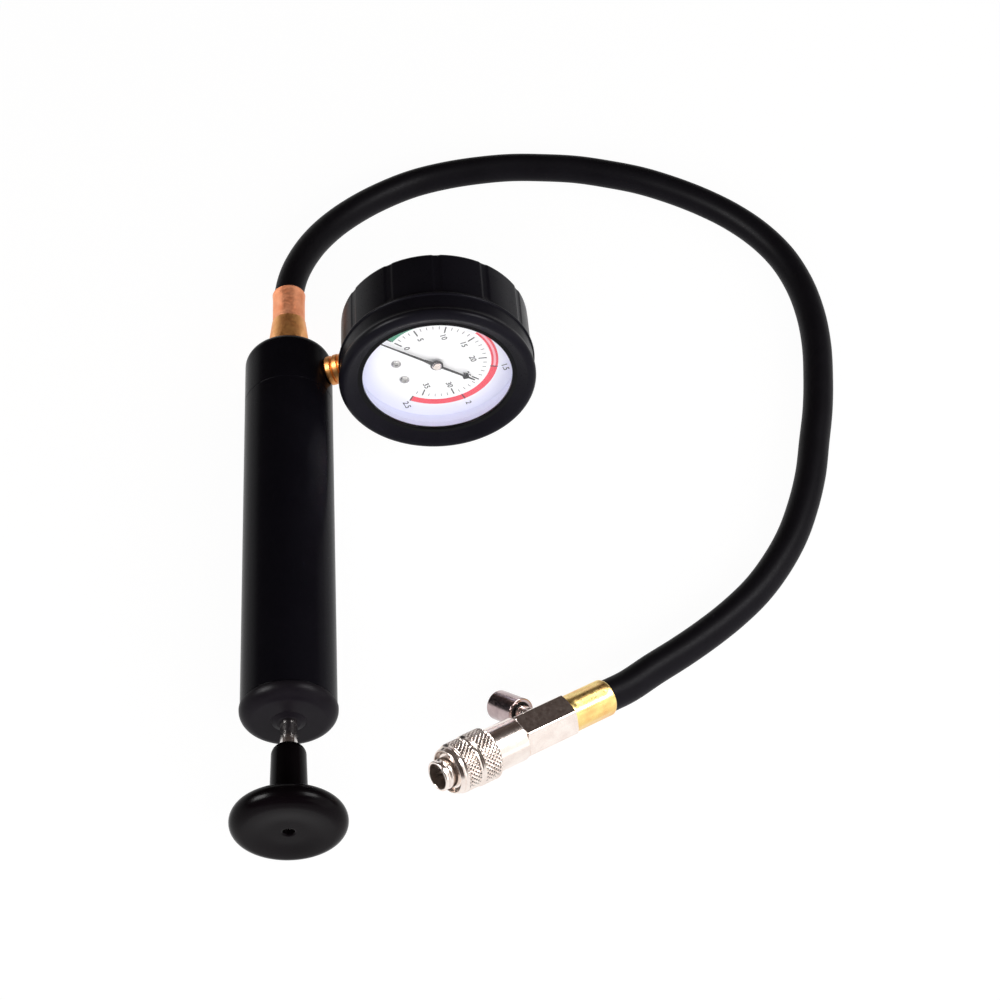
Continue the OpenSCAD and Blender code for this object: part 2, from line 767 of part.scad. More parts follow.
module bourdon_tube() {
    color("peru") gauge_frame() difference() {
        translate([0, 0, tube_mid]) rotate(tube_end) rotate_extrude(angle = 180 - tube_end, $fn = 96)
            translate([tube_r, 0]) difference() {
                flat_section(tube_t, tube_h);
                flat_section(tube_t - 2 * tube_wall, tube_h - 2 * tube_wall);
            }
        socket_block();
    }
}

module bourdon_tip() {
    ear_z = link_front - link_t - 0.3;
    start = norm(tip_pin);
    color("peru") gauge_frame() rotate(tip_dir) union() {
        translate([0, 0, tube_mid]) rotate(-tip_span / 2) rotate_extrude(angle = tip_span, $fn = 96)
            translate([tube_r, 0]) flat_section(tube_t + 0.8, tube_h + 0.6);
        translate([start - ear_w / 2, -ear_w / 2, ear_z - ear_t])
            cube([tube_r - start + ear_w / 2, ear_w, ear_t]);
        translate([start, 0, 0]) rod(ear_z - ear_t / 2, link_front + 0.3, pin_d);
    }
}

module plate_outline() {
    reach = norm(sector_pivot) + 2.4;
    translate([-block_near + 0.5, -block_w / 2]) square([block_near + 9, block_w]);
    rotate(sector_dir) translate([0, -3.2]) square([reach, 6.4]);
    circle(r = hair_r + hair_pitch * hair_turns + plate_rim);
    translate(sector_pivot) circle(d = 7.2);
}

module movement_plates() {
    holes = arbor_d + 2 * joint_gap;
    color("gold") gauge_frame() for (top = [plate_front, plate_back]) difference() {
        union() {
            translate([0, 0, top - plate_t]) linear_extrude(plate_t) difference() {
                plate_outline();
                if (top == plate_front) translate([-block_near - cut, -block_w / 2 - cut])
                    square([cut + 1, block_w + 2 * cut]);
            }
            if (top == plate_front) dial_screw_places() rod(plate_front - cut / 2, dial_back, 4.4);
        }
        rod(top - plate_t - cut, top + cut, holes);
        translate([sector_pivot[0], sector_pivot[1], 0]) rod(top - plate_t - cut, top + cut, holes);
        if (top == plate_front) dial_screw_places() rod(dial_back - 2.2, dial_back + cut, 1.8);
        if (top == plate_back) for (side = [-1, 1])
            translate([-block_near + seat_l / 2, side * 3, 0]) rod(top - plate_t - cut, top + cut, 1.6);
    }
}

module movement_posts() {
    low = plate_back;
    high = plate_front - plate_t;
    end_r = hair_r + hair_pitch * hair_turns + 0.9;
    color("gold") gauge_frame() {
        for (side = [-1, 1]) translate([-block_near + seat_l - 1, side * 3.6, 0]) rod(low, high, post_d);
        translate([free_post[0], free_post[1], 0]) rod(low, high, post_d);
        rotate(360 * hair_turns) translate([end_r, 0, 0]) rod(low, spring_front + 0.4, 1.2);
    }
}

module movement_screws() {
    color("silver") gauge_frame() for (side = [-1, 1])
        translate([-block_near + seat_l / 2, side * 3, 0]) {
            rod(plate_back, plate_back + 0.8, 2.6);
            rod(block_back + 0.5, plate_back + 0.2, 1.6);
        }
}

// Involute teeth: a flank point at radius r, for a tooth centred on the x axis
function degrees(a) = a * 180 / PI;
function involute(a) = degrees(tan(a)) - a;
function half_tooth(teeth, r) =
    let (pitch = gear_module * teeth / 2, base = pitch * cos(pressure_angle),
        a = r > base ? acos(base / r) : 0)
    degrees((PI * gear_module / 2 - backlash) / 2 / pitch) + involute(pressure_angle) - involute(a);
function flank(teeth, side) =
    let (pitch = gear_module * teeth / 2, top = pitch + tip_height * gear_module,
        root = pitch - root_depth * gear_module)
    [for (i = [0:4]) let (r = root + (top - root) * i / 4) [r, side * half_tooth(teeth, r)]];
function tooth(teeth, centre) =
    [for (p = concat(flank(teeth, -1), [for (i = [4:-1:0]) flank(teeth, 1)[i]]))
        p[0] * [cos(centre + p[1]), sin(centre + p[1])]];

module sector_gear() {
    bottom = wheel_front - wheel_t;
    edge = sector_half * tooth_pitch + 3;
    root = sector_r - root_depth * gear_module;
    color("gold") gauge_frame() translate([sector_pivot[0], sector_pivot[1], 0])
        rotate(sector_dir + 180 + rest_swing) {
            translate([0, 0, bottom]) linear_extrude(wheel_t) {
                polygon(concat([[0, 0]], [for (k = [-sector_half:sector_half])
                    each tooth(sector_teeth, k * tooth_pitch)]));
                polygon([[-tail_r, 1], [-tail_r, -1], [0, -2.4], [root * 0.6, -2],
                    [root * 0.6, 2], [0, 2.4]]);
                circle(d = 5.2);
                translate([-tail_r, 0]) circle(d = 2.8);
            }
            rod(plate_back - plate_t, plate_front, arbor_d);
            translate([-tail_r, 0, 0]) rod(bottom, link_front + 0.3, pin_d);
        }
}

module link() {
    color("gold") gauge_frame() difference() {
        translate([0, 0, link_front - link_t]) linear_extrude(link_t) {
            translate(tail_pin) circle(d = 2.6);
            translate(tip_pin) circle(d = pin_d + 2 * open_gap + 1.2);
            translate(tail_pin) rotate(pull_dir) translate([0, -0.6]) square([link_l, 1.2]);
        }
        translate([tail_pin[0], tail_pin[1], 0])
            rod(link_front - link_t - cut, link_front + cut, pin_d + 2 * joint_gap);
        translate([tip_pin[0], tip_pin[1], 0])
            rod(link_front - link_t - cut, link_front + cut, pin_d + 2 * open_gap);
    }
}

module pinion_arbor() {
    root = pinion_r - root_depth * gear_module;
    color("silver") gauge_frame() union() {
        rod(plate_back - plate_t, pointer_front + 0.4, arbor_d);
        rotate(sector_dir + 180 / pinion_teeth - gear_ratio * rest_swing)
            translate([0, 0, wheel_front - wheel_t - 0.2]) linear_extrude(wheel_t + 0.4)
                polygon([for (k = [0:pinion_teeth - 1]) each tooth(pinion_teeth, 360 * k / pinion_teeth)]);
        rod(spring_front - spring_h, spring_front, 2 * collet_r);
    }
}

module pointer() {
    color("black") gauge_frame() rotate(dial_zero) difference() {
        union() {
            translate([0, 0, pointer_front - pointer_t]) linear_extrude(pointer_t) {
                polygon([[0, 1], [-pointer_tail * 0.55, 0.5], [-pointer_tail, 0.6],
                    [-pointer_tail, -0.6], [-pointer_tail * 0.55, -0.5], [0, -1], [pointer_l, -0.15],
                    [pointer_l, 0.15]]);
                polygon([[-pointer_tail, 0], [-pointer_tail * 0.8, 1.6], [-pointer_tail * 0.6, 0],
                    [-pointer_tail * 0.8, -1.6]]);
                circle(d = 5.4);
            }
            rod(pointer_front - pointer_t - 1, pointer_front, 3.4);
        }
        rod(dial_front, 0, arbor_d);
    }
}

module pointer_hub() {
    color("silver") gauge_frame() difference() {
        union() {
            rod(pointer_front, pointer_front + 0.5, 4.4);
            translate([0, 0, pointer_front + 0.5]) cylinder(d1 = 4.4, d2 = 3, h = 0.5);
        }
        rod(pointer_front - cut, pointer_front + 0.4, arbor_d);
    }
}

module hairspring() {
    turns = 360 * hair_turns;
    step = turns / 60;
    inner = [for (i = [0:60]) let (a = i * step, r = hair_r + hair_pitch * a / 360) r * [cos(a), sin(a)]];
    outer = [for (i = [60:-1:0]) let (a = i * step, r = hair_r + hair_w + hair_pitch * a / 360)
        r * [cos(a), sin(a)]];
    color("steelblue") gauge_frame() translate([0, 0, spring_front - spring_h])
        linear_extrude(spring_h) polygon(concat(inner, outer));
}

module gauge_boot() {
    color("black") difference() {
        gauge_frame() difference() {
            union() {
                rotate_extrude() {
                    translate([boot_r - lip_round, -lip_round]) circle(r = lip_round);
                    translate([boot_mouth_r, -lip_l]) square([boot_r - lip_round - boot_mouth_r, lip_l]);
                    translate([boot_mouth_r, -lip_l]) square([boot_r - boot_mouth_r, lip_l - lip_round]);
                }
                rod(-boot_l, cut - lip_l, 2 * boot_body_r);
            }
            for (i = [0:flute_count - 1]) rotate(360 * i / flute_count)
                translate([boot_body_r + flute_r - flute_depth, 0, 0]) rod(-boot_l - cut, -lip_l - 1, 2 * flute_r);
            rod(-boot_l + boot_back, bezel_front + 0.1, 2 * boot_bore_r);
            rod(-boot_l + boot_back, cut, 2 * boot_mouth_r);
            rod(-boot_l - cut, 0, 2 * (boot_bore_r - back_rim));
        }
        stem_frame() rod(barrel_r, gauge_reach - block_near, 2 * adapter_slot);
    }
}

// Hose and its ends
module hose_fitting() {
    color("gold") pump_frame() difference() {
        union() {
            rod(pump_l - thread_l, pump_l + cut, fitting_port_d);
            hex_nut(pump_l, pump_l + fitting_hex_l, fitting_af, 1.5);
            translate([0, 0, pump_l + fitting_hex_l - cut])
                cylinder(d1 = fitting_af, d2 = ferrule_d - 0.6, h = fitting_cone_l + cut);
            rod(fitting_end - cut, ferrule_end - hose_grip, ferrule_bore - 2 * joint_gap);
        }
        rod(pump_l - thread_l - cut, ferrule_end, passage_d);
    }
}

module pump_ferrule() {
    color("peru") pump_frame() tube(fitting_end, ferrule_end, ferrule_d, ferrule_bore);
}

module hose() {
    color("black") sweep(route, hose_d / 2, 12);
}

module coupler_ferrule() {
    color("gold") coupler_frame() tube(0, coupler_ferrule_l, coupler_ferrule_d, ferrule_bore);
}

module coupler_block() {
    color("silver") difference() {
        coupler_frame() difference() {
            union() {
                rod(hose_grip, hex_z + cut, ferrule_bore - 2 * joint_gap);
                hex_nut(hex_z, hex_front, coupler_af, 1.6);
                rod(hex_front - cut, hex_front + nipple_l, nipple_d);
            }
            rod(hose_grip - cut, hex_front + nipple_l + cut, passage_d);
        }
        release_frame() rod(0, 6, 2);
        release_frame() rod(4.5, coupler_af, release_stem_d - 1 + 2 * joint_gap);
        release_frame() rod(release_seat, coupler_af, release_stem_d + 2 * joint_gap);
    }
}

module coupler_tube() {
    nose = nose_d / 2;
    color("silver") coupler_frame() difference() {
        union() {
            rotate_extrude() polygon([[0, hex_front], [body_d / 2, hex_front],
                [body_d / 2, body_front], [core_r, body_front], [core_r, core_front],
                [nose, core_front], [nose, nose_front - 2.6], [nose - 0.5, nose_front - 2.3],
                [nose - 0.5, nose_front - 1.7], [nose, nose_front - 1.4],
                [nose, nose_front - 0.4], [nose - 0.4, nose_front], [0, nose_front]]);
        }
        rod(hex_front - cut, hex_front + nipple_l, nipple_d + 2 * joint_gap);
        rod(hex_front, inner_end + cut, 5);
        rod(inner_end, socket_end + 0.01, 2 * inner_r);
        rod(seal_z - socket_seal_l / 2 - joint_gap, seal_z + socket_seal_l / 2 + joint_gap,
            2 * (inner_r + socket_seal_t));
        rod(socket_end, nose_front + cut, socket_d);
        tube(flange_front + joint_gap, flange_front + ring_t + 3 * joint_gap, 2 * core_r + 2,
            2 * core_r - 1);
        for (i = [0:ball_count - 1]) rotate(360 * i / ball_count) translate([0, 0, ball_z])
            rotate([0, 90, 0]) rod(inner_r - 0.5, core_r + cut, ball_d + 0.2);
    }
}

module coupler_sleeve() {
    rear = sleeve_d / 2;
    front = sleeve_front_d / 2;
    shoe = body_d / 2 + 0.3;
    z1 = sleeve_back + 8.3;
    z2 = sleeve_front - 2.5;
    color("silver") coupler_frame() difference() {
        rotate_extrude() polygon([[shoe, sleeve_back], [rear - 0.5, sleeve_back],
            [rear, sleeve_back + 0.5], [rear, z1 - 0.5], [rear - 0.7, z1], [front - 0.6, z1 + 0.3],
            [front - 0.6, z1 + 1], [front, z1 + 1.3], [front, z2 - 0.4], [front - 0.4, z2],
            [front - 0.8, z2 + 0.2], [front - 0.8, z2 + 0.9], [front - 0.6, z2 + 1],
            [front - 1.2, sleeve_front], [core_r + 1, sleeve_front], [core_r + 1, flange_front],
            [core_r + slide_gap, flange_front], [core_r + slide_gap, flange_back],
            [shoe, flange_back]]);
    }
}

module sleeve_spring() {
    color("silver") coupler_frame()
        coil(body_front + 0.1, flange_back - 0.1, core_r + 0.9, 0.8, 4);
}

module locking_balls() {
    reach = core_r + slide_gap - ball_d / 2 - joint_gap;
    color("silver") coupler_frame() for (i = [0:ball_count - 1]) rotate(360 * i / ball_count)
        translate([reach, 0, ball_z]) sphere(d = ball_d, $fn = 32);
}

module sleeve_ring() {
    color("silver") coupler_frame() difference() {
        tube(flange_front + 2 * joint_gap, flange_front + 2 * joint_gap + ring_t - joint_gap,
            2 * core_r + 1.4, 2 * core_r - 0.9);
        translate([0, -1, flange_front]) cube([core_r + 2, 2, ring_t + 1]);
    }
}

module socket_seal() {
    color("dimgray") coupler_frame() tube(seal_z - socket_seal_l / 2, seal_z + socket_seal_l / 2,
        2 * (inner_r + socket_seal_t - joint_gap), 2 * (inner_r - 0.35));
}

// Release valve
module release_stem() {
    color("silver") release_frame() difference() {
        union() {
            rod(4.7, release_seat + 1, release_stem_d - 1);
            rod(release_seat, release_top, release_stem_d);
            rod(release_top - release_flange_t, release_top, release_stem_d + 1.7);
        }
        rod(4.7 - cut, release_top + cut, 1.6);
        rod(7, release_top + cut, release_pin_d + 2 * joint_gap);
        translate([-release_stem_d, 0, coupler_af / 2 + 2.5]) rotate([0, 90, 0])
            cylinder(d = 1.4, h = 2 * release_stem_d);
    }
}

module release_knob() {
    out = release_d / 2;
    color("silver") release_frame() difference() {
        rotate_extrude() polygon([[0, release_far], [out - cap_chamfer, release_far],
            [out, release_far - cap_chamfer], [out, release_near + 0.4],
            [out - 0.4, release_near], [release_stem_d / 2 + slide_gap, release_near],
            [release_stem_d / 2 + slide_gap, release_near + release_lip_t],
            [out - release_wall, release_near + release_lip_t],
            [out - release_wall, release_far - 2], [0, release_far - 2]]);
        rod(release_far - 2 - cut, release_far - 1, release_pin_d);
    }
}

module release_pin() {
    color("silver") release_frame() rod(7 + joint_gap, release_far - 1, release_pin_d);
}

module release_spring() {
    color("silver") release_frame() coil(release_near + release_lip_t + 0.1,
        release_top - release_flange_t - 0.1, release_stem_d / 2 + 0.55, 0.5, 6);
}

barrel();
pump_head();
head_seal();
end_cap();
rod_guide();
rod_seal();
piston_rod();
piston();
piston_cup();
piston_nut();
push_knob();
knob_screw();
check_valve_seat();
check_valve_poppet();
check_valve_spring();
gauge_adapter();
gauge_socket();
gauge_case();
gauge_bezel();
gauge_lens();
lens_gasket();
dial_plate();
dial_screws();
bourdon_tube();
bourdon_tip();
movement_plates();
movement_posts();
movement_screws();
sector_gear();
link();
pinion_arbor();
pointer();
pointer_hub();
hairspring();
gauge_boot();
hose_fitting();
pump_ferrule();
hose();
coupler_ferrule();
coupler_block();
coupler_tube();
coupler_sleeve();
sleeve_spring();
locking_balls();
sleeve_ring();
socket_seal();
release_stem();
release_knob();
release_pin();
release_spring();
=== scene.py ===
# Looks of a cooling system pressure tester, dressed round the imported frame. Metres throughout.
import json
import math
import bmesh
import bpy
import numpy as np
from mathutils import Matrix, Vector


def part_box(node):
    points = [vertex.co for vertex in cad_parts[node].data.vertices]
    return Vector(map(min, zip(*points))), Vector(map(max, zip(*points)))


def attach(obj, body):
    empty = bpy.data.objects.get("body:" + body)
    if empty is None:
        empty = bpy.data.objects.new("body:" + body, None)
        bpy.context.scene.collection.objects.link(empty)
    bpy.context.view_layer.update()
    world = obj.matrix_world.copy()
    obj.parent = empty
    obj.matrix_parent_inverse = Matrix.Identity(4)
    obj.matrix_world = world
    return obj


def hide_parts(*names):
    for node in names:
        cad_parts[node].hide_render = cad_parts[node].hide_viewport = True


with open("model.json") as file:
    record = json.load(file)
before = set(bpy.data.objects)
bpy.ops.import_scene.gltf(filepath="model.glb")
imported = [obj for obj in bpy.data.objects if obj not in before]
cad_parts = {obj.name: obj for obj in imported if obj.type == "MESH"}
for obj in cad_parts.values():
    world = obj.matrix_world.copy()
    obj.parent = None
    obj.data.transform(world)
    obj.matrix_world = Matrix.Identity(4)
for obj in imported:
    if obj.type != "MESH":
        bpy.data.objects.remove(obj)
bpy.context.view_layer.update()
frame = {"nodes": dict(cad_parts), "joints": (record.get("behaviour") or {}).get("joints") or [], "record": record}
mm = 0.001
joints = {j["name"]: j for j in frame["joints"]}
mounts = {m["name"]: m for m in frame["record"]["mounts"]}


# places: an origin and three axes, read from the frame
def unit(v):
    v = np.asarray(v, float)
    return v / np.linalg.norm(v)


def makePlace(origin, zAxis, xAxis):
    z = unit(zAxis)
    x = np.asarray(xAxis, float)
    x = unit(x - z * (x @ z))
    return {"origin": np.asarray(origin, float), "axes": np.array([x, np.cross(z, x), z])}


def shifted(place, along):
    return {"origin": place["origin"] + place["axes"][2] * along, "axes": place["axes"]}


def toWorld(place, points):
    return place["origin"] + np.asarray(points, float) @ place["axes"]


def nodePoints(node):
    mesh = frame["nodes"][node].data
    flat = np.empty(len(mesh.vertices) * 3)
    mesh.vertices.foreach_get("co", flat)
    return flat.reshape(-1, 3)


def span(node, place):
    # a node's reach along a place's z axis, and its largest radius about it
    local = (nodePoints(node) - place["origin"]) @ place["axes"].T
    return local[:, 2].min(), local[:, 2].max(), np.hypot(local[:, 0], local[:, 1]).max()


def spanMm(node, place):
    return [v / mm for v in span(node, place)]


def boxCentre(node):
    low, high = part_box(node)
    return np.array((low + high) / 2)


pumpAxis = -np.array(joints["plunger_slide"]["axis"])
pump = makePlace(boxCentre("barrel"), pumpAxis, (1, 0, 0))
pump = shifted(pump, span("end_cap", pump)[0])  # z = 0 on the end cap's face
gaugeAxis = np.array(joints["pointer_turn"]["axis"])
gaugeCentre = np.array(joints["pointer_turn"]["pos_m"])
gauge = makePlace(gaugeCentre, gaugeAxis, gaugeCentre - pump["origin"])
gauge = shifted(gauge, span("gauge_boot", gauge)[1])  # z = 0 on the boot's lip, z looks out of the dial
couplerAxis = -np.array(joints["sleeve_slide"]["axis"])
releaseAxis = np.array(joints["release_pull"]["axis"])
coupler = makePlace(mounts["coupler_socket"]["pos_m"], couplerAxis, releaseAxis)
coupler = shifted(coupler, span("coupler_ferrule", coupler)[0])  # z = 0 at the ferrule's mouth
pinCentre = boxCentre("release_pin")
release = makePlace(pinCentre - releaseAxis * ((pinCentre - coupler["origin"]) @ releaseAxis),
                    releaseAxis, couplerAxis)
print("places ready")

# camera, at the photograph's viewing angle
view = {"location": (0.0101, -0.5509, 0.7169), "aim": (0.03740, 0.62943, -0.77616), "lens": 81.63}
cameraData = bpy.data.cameras.new("camera")
cameraData.lens = view["lens"]
cameraData.sensor_width = 36
camera = bpy.data.objects.new("camera", cameraData)
camera.location = view["location"]
camera.rotation_euler = Vector(view["aim"]).to_track_quat("-Z", "Y").to_euler()
bpy.context.scene.collection.objects.link(camera)
bpy.context.scene.camera = camera


# mesh makers
def meshObject(name, vertices, faces, uvs=None, sharp=35, weld=True):
    mesh = bpy.data.meshes.new(name)
    mesh.from_pydata(np.asarray(vertices).tolist(), [], faces)
    if uvs is not None:
        layer = mesh.uv_layers.new(name="surface")
        layer.data.foreach_set("uv", np.asarray(uvs, np.float32).ravel())
    if weld:
        work = bmesh.new()
        work.from_mesh(mesh)
        bmesh.ops.remove_doubles(work, verts=work.verts, dist=1e-7)
        bmesh.ops.dissolve_degenerate(work, edges=work.edges, dist=1e-8)
        bmesh.ops.recalc_face_normals(work, faces=work.faces)
        work.to_mesh(mesh)
        work.free()
    mesh.polygons.foreach_set("use_smooth", np.ones(len(mesh.polygons), bool))
    mesh.set_sharp_from_angle(angle=math.radians(sharp))
    piece = bpy.data.objects.new(name, mesh)
    bpy.context.scene.collection.objects.link(piece)
    return piece


def gridPiece(name, grid, closeRows=False, sharp=35):
    # quads between neighbouring rows and columns of a grid of points; columns always close on themselves,
    # and the UV map holds the share of the turn and the length along the rows in metres
    rows, columns = grid.shape[:2]
    down = np.arange(rows if closeRows else rows - 1)
    across = np.arange(columns)
    i, j = np.meshgrid(down, across, indexing="ij")
    iNext, jNext = (i + 1) % rows, (j + 1) % columns
    faces = np.stack([i * columns + j, i * columns + jNext, iNext * columns + jNext, iNext * columns + j],
                     axis=-1).reshape(-1, 4).tolist()
    steps = np.linalg.norm(np.diff(grid[:, 0], axis=0), axis=1)
    length = np.concatenate([[0], np.cumsum(steps)])
    lengthNext = np.append(length[1:], length[-1] + np.linalg.norm(grid[0, 0] - grid[-1, 0]))
    u0, u1 = j / columns, (j + 1) / columns
    v0, v1 = length[i], lengthNext[i]
    uvs = np.stack([u0, v0, u1, v0, u1, v1, u0, v1], axis=-1).reshape(-1, 2)
    return meshObject(name, grid.reshape(-1, 3), faces, uvs, sharp)


def roundedProfile(points, steps=5):
    # points are (radius, z, corner radius) in millimetres; each corner becomes an arc of steps pieces,
    # with a point just outside each end of the arc so that flat faces shade flat
    limits = {"share": 0.47, "lead": 0.1, "leadShare": 0.2}
    corners = [np.array(p[:2], float) for p in points]
    radii = [p[2] if len(p) > 2 else 0 for p in points]
    out = []
    for k, corner in enumerate(corners):
        if radii[k] == 0 or k in (0, len(corners) - 1):
            out.append(corner)
            continue
        before, after = corners[k - 1] - corner, corners[k + 1] - corner
        a, b = np.linalg.norm(before), np.linalg.norm(after)
        before, after = before / a, after / b
        turn = math.acos(np.clip(before @ after, -1, 1))
        reach = min(radii[k] / math.tan(turn / 2), limits["share"] * a, limits["share"] * b)
        radius = reach * math.tan(turn / 2)
        middle = corner + unit(before + after) * radius / math.sin(turn / 2)
        start, end = corner + before * reach, corner + after * reach
        lead = min(limits["lead"], reach * limits["leadShare"])
        out.append(start + before * lead)
        a0, a1 = start - middle, end - middle
        for t in np.linspace(0, 1, steps + 1):
            mix = a0 * math.sin((1 - t) * (math.pi - turn)) + a1 * math.sin(t * (math.pi - turn))
            out.append(middle + mix / math.sin(math.pi - turn))
        out.append(end + after * lead)
    return np.array(out) * mm


def fullTurn(sides):
    return np.linspace(0, 2 * np.pi, sides, endpoint=False)


def ringGrid(radius, heights, angle):
    # rows of points round a z axis: radius cos(angle), radius sin(angle), height
    return np.stack([radius * np.cos(angle), radius * np.sin(angle), np.repeat(heights, len(angle), axis=1)],
                    axis=-1)


def denser(line, step, beyond=0):
    # more points along a profile, a step in millimetres apart, where its radius is past a limit
    out = []
    for a, b in zip(line[:-1], line[1:]):
        pieces = max(1, int(np.linalg.norm(b - a) / (step * mm))) if min(a[0], b[0]) > beyond * mm else 1
        out += [a + (b - a) * t for t in np.arange(pieces) / pieces]
    return np.array(out + [line[-1]])


def roundEdge(edge, face, radius, start, end, steps, inward=1):
    # a round rim: in from its edge by radius (1 - cos a) and off its face by radius (1 - sin a)
    return [(edge - radius * (1 - math.cos(a)), face + inward * radius * (1 - math.sin(a)), 0)
            for a in np.linspace(start, end, steps)]


def turned(name, profile, place, sides=128, closeRows=False, steps=5):
    # a profile of radius and z carried round the place's z axis, closed on itself where closeRows says so
    line = roundedProfile(profile + profile[:1], steps)[:-1] if closeRows else roundedProfile(profile, steps)
    return gridPiece(name, toWorld(place, ringGrid(line[:, :1], line[:, 1:], fullTurn(sides))), closeRows)


def swept(name, path, radius, sides):
    # a ring of points square to the path at each of its points, turned as little as possible along it
    tangents = np.gradient(path, axis=0)
    tangents /= np.linalg.norm(tangents, axis=1)[:, None]
    side = unit(np.cross(tangents[0], (0, 0, 1)))
    angle = fullTurn(sides)
    rings = []
    for point, tangent in zip(path, tangents):
        side = unit(side - tangent * (side @ tangent))
        up = np.cross(side, tangent)
        rings.append(point + radius * (np.cos(angle)[:, None] * side + np.sin(angle)[:, None] * up))
    grid = np.concatenate([np.repeat(path[:1, None], sides, axis=1), np.array(rings),
                           np.repeat(path[-1:, None], sides, axis=1)])
    return gridPiece(name, grid, sharp=60)


def plate(name, outline, z0, z1, place):
    # an outline in millimetres given a thickness from z0 to z1
    outline = np.asarray(outline, float) * mm
    count = len(outline)
    low = np.column_stack([outline, np.full(count, z0 * mm)])
    high = np.column_stack([outline, np.full(count, z1 * mm)])
    faces = [list(range(count))[::-1], list(range(count, 2 * count))]
    faces += [[k, (k + 1) % count, (k + 1) % count + count, k + count] for k in range(count)]
    return meshObject(name, toWorld(place, np.concatenate([low, high])), faces)


def dress(piece, body, finishName, slot, *nodes):
    # the piece rides on its body, takes its finish and stands for the nodes named
    piece.data.materials.clear()
    piece.data.materials.append(paint[finishName])
    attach(piece, body)
    if nodes:
        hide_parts(*nodes)
    return piece


# shader nodes and their wiring
def setValues(node, values):
    for name, value in values.items():
        node.inputs[name].default_value = value


def addNode(tree, kind, values=None, operation=None):
    node = tree.nodes.new("ShaderNode" + kind)
    if operation:
        node.operation = operation
    setValues(node, values or {})
    return node


def addGroup(tree, group, values):
    node = addNode(tree, "Group")
    node.node_tree = group
    setValues(node, values)
    return node


def addColourMix(tree, values=None):
    # inputs 6 and 7 are its two colours, and output 2 is the mixed one
    mix = addNode(tree, "Mix")
    mix.data_type = "RGBA"
    setValues(mix, values or {})
    return mix


def addSurfaceMap(tree):
    flatMap = addNode(tree, "UVMap")
    flatMap.uv_map = "surface"
    return flatMap


def wire(tree, *links):
    # each link is a node and its output, then a node and its input
    for source, output, target, entry in links:
        tree.links.new(source.outputs[output], target.inputs[entry])


def newMaterial(name, values=None):
    material = bpy.data.materials.new(name)
    material.use_nodes = True
    shader = material.node_tree.nodes["Principled BSDF"]
    setValues(shader, values or {})
    return material, material.node_tree, shader


def newGroup(name, inputs, outputs):
    # inputs are a name, a socket kind and, where it has one, a value
    group = bpy.data.node_groups.new(name, "ShaderNodeTree")
    for label, kind, *value in inputs:
        socket = group.interface.new_socket(name=label, in_out="INPUT", socket_type="NodeSocket" + kind)
        if value:
            socket.default_value = value[0]
    for label, kind in outputs:
        group.interface.new_socket(name=label, in_out="OUTPUT", socket_type="NodeSocket" + kind)
    return group, group.nodes.new("NodeGroupInput"), group.nodes.new("NodeGroupOutput")


def makeGrain():
    # mottled value between two limits, for roughness and a fine bump
    group, ins, outs = newGroup("grain", [("Vector", "Vector"), ("Scale", "Float", 800.0),
                                          ("Low", "Float", 0.3), ("High", "Float", 0.5)],
                                [("Value", "Float"), ("Height", "Float")])
    noise = addNode(group, "TexNoise", {"Detail": 6})
    spread = addNode(group, "MapRange", {"From Min": 0.3, "From Max": 0.7})
    wire(group, (ins, "Vector", noise, "Vector"), (ins, "Scale", noise, "Scale"),
         (noise, "Fac", spread, "Value"), (ins, "Low", spread, "To Min"), (ins, "High", spread, "To Max"),
         (spread, "Result", outs, "Value"), (noise, "Fac", outs, "Height"))
    return group


def makeTint():
    # drifts between two colours in soft patches
    group, ins, outs = newGroup("tint", [("Vector", "Vector"), ("Scale", "Float", 60.0), ("Plain", "Color"),
                                         ("Tinted", "Color")], [("Color", "Color")])
    noise = addNode(group, "TexNoise", {"Detail": 3})
    spread = addNode(group, "MapRange", {"From Min": 0.35, "From Max": 0.65})
    mix = addColourMix(group)
    wire(group, (ins, "Vector", noise, "Vector"), (ins, "Scale", noise, "Scale"),
         (noise, "Fac", spread, "Value"), (spread, "Result", mix, 0), (ins, "Plain", mix, 6),
         (ins, "Tinted", mix, 7), (mix, 2, outs, "Color"))
    return group


def makeLathe():
    # fine rings across the length of a turned surface, from its UV map
    group, ins, outs = newGroup("latheMarks", [("Vector", "Vector"), ("Lines", "Float", 4000.0)],
                                [("Height", "Float")])
    apart = addNode(group, "SeparateXYZ")
    times = addNode(group, "Math", operation="MULTIPLY")
    noise = addNode(group, "TexNoise", {"Scale": 1, "Detail": 4})
    noise.noise_dimensions = "1D"
    wire(group, (ins, "Vector", apart, 0), (apart, "Y", times, 0), (ins, "Lines", times, 1),
         (times, 0, noise, "W"), (noise, "Fac", outs, "Height"))
    return group


grain, tint, latheMarks = makeGrain(), makeTint(), makeLathe()


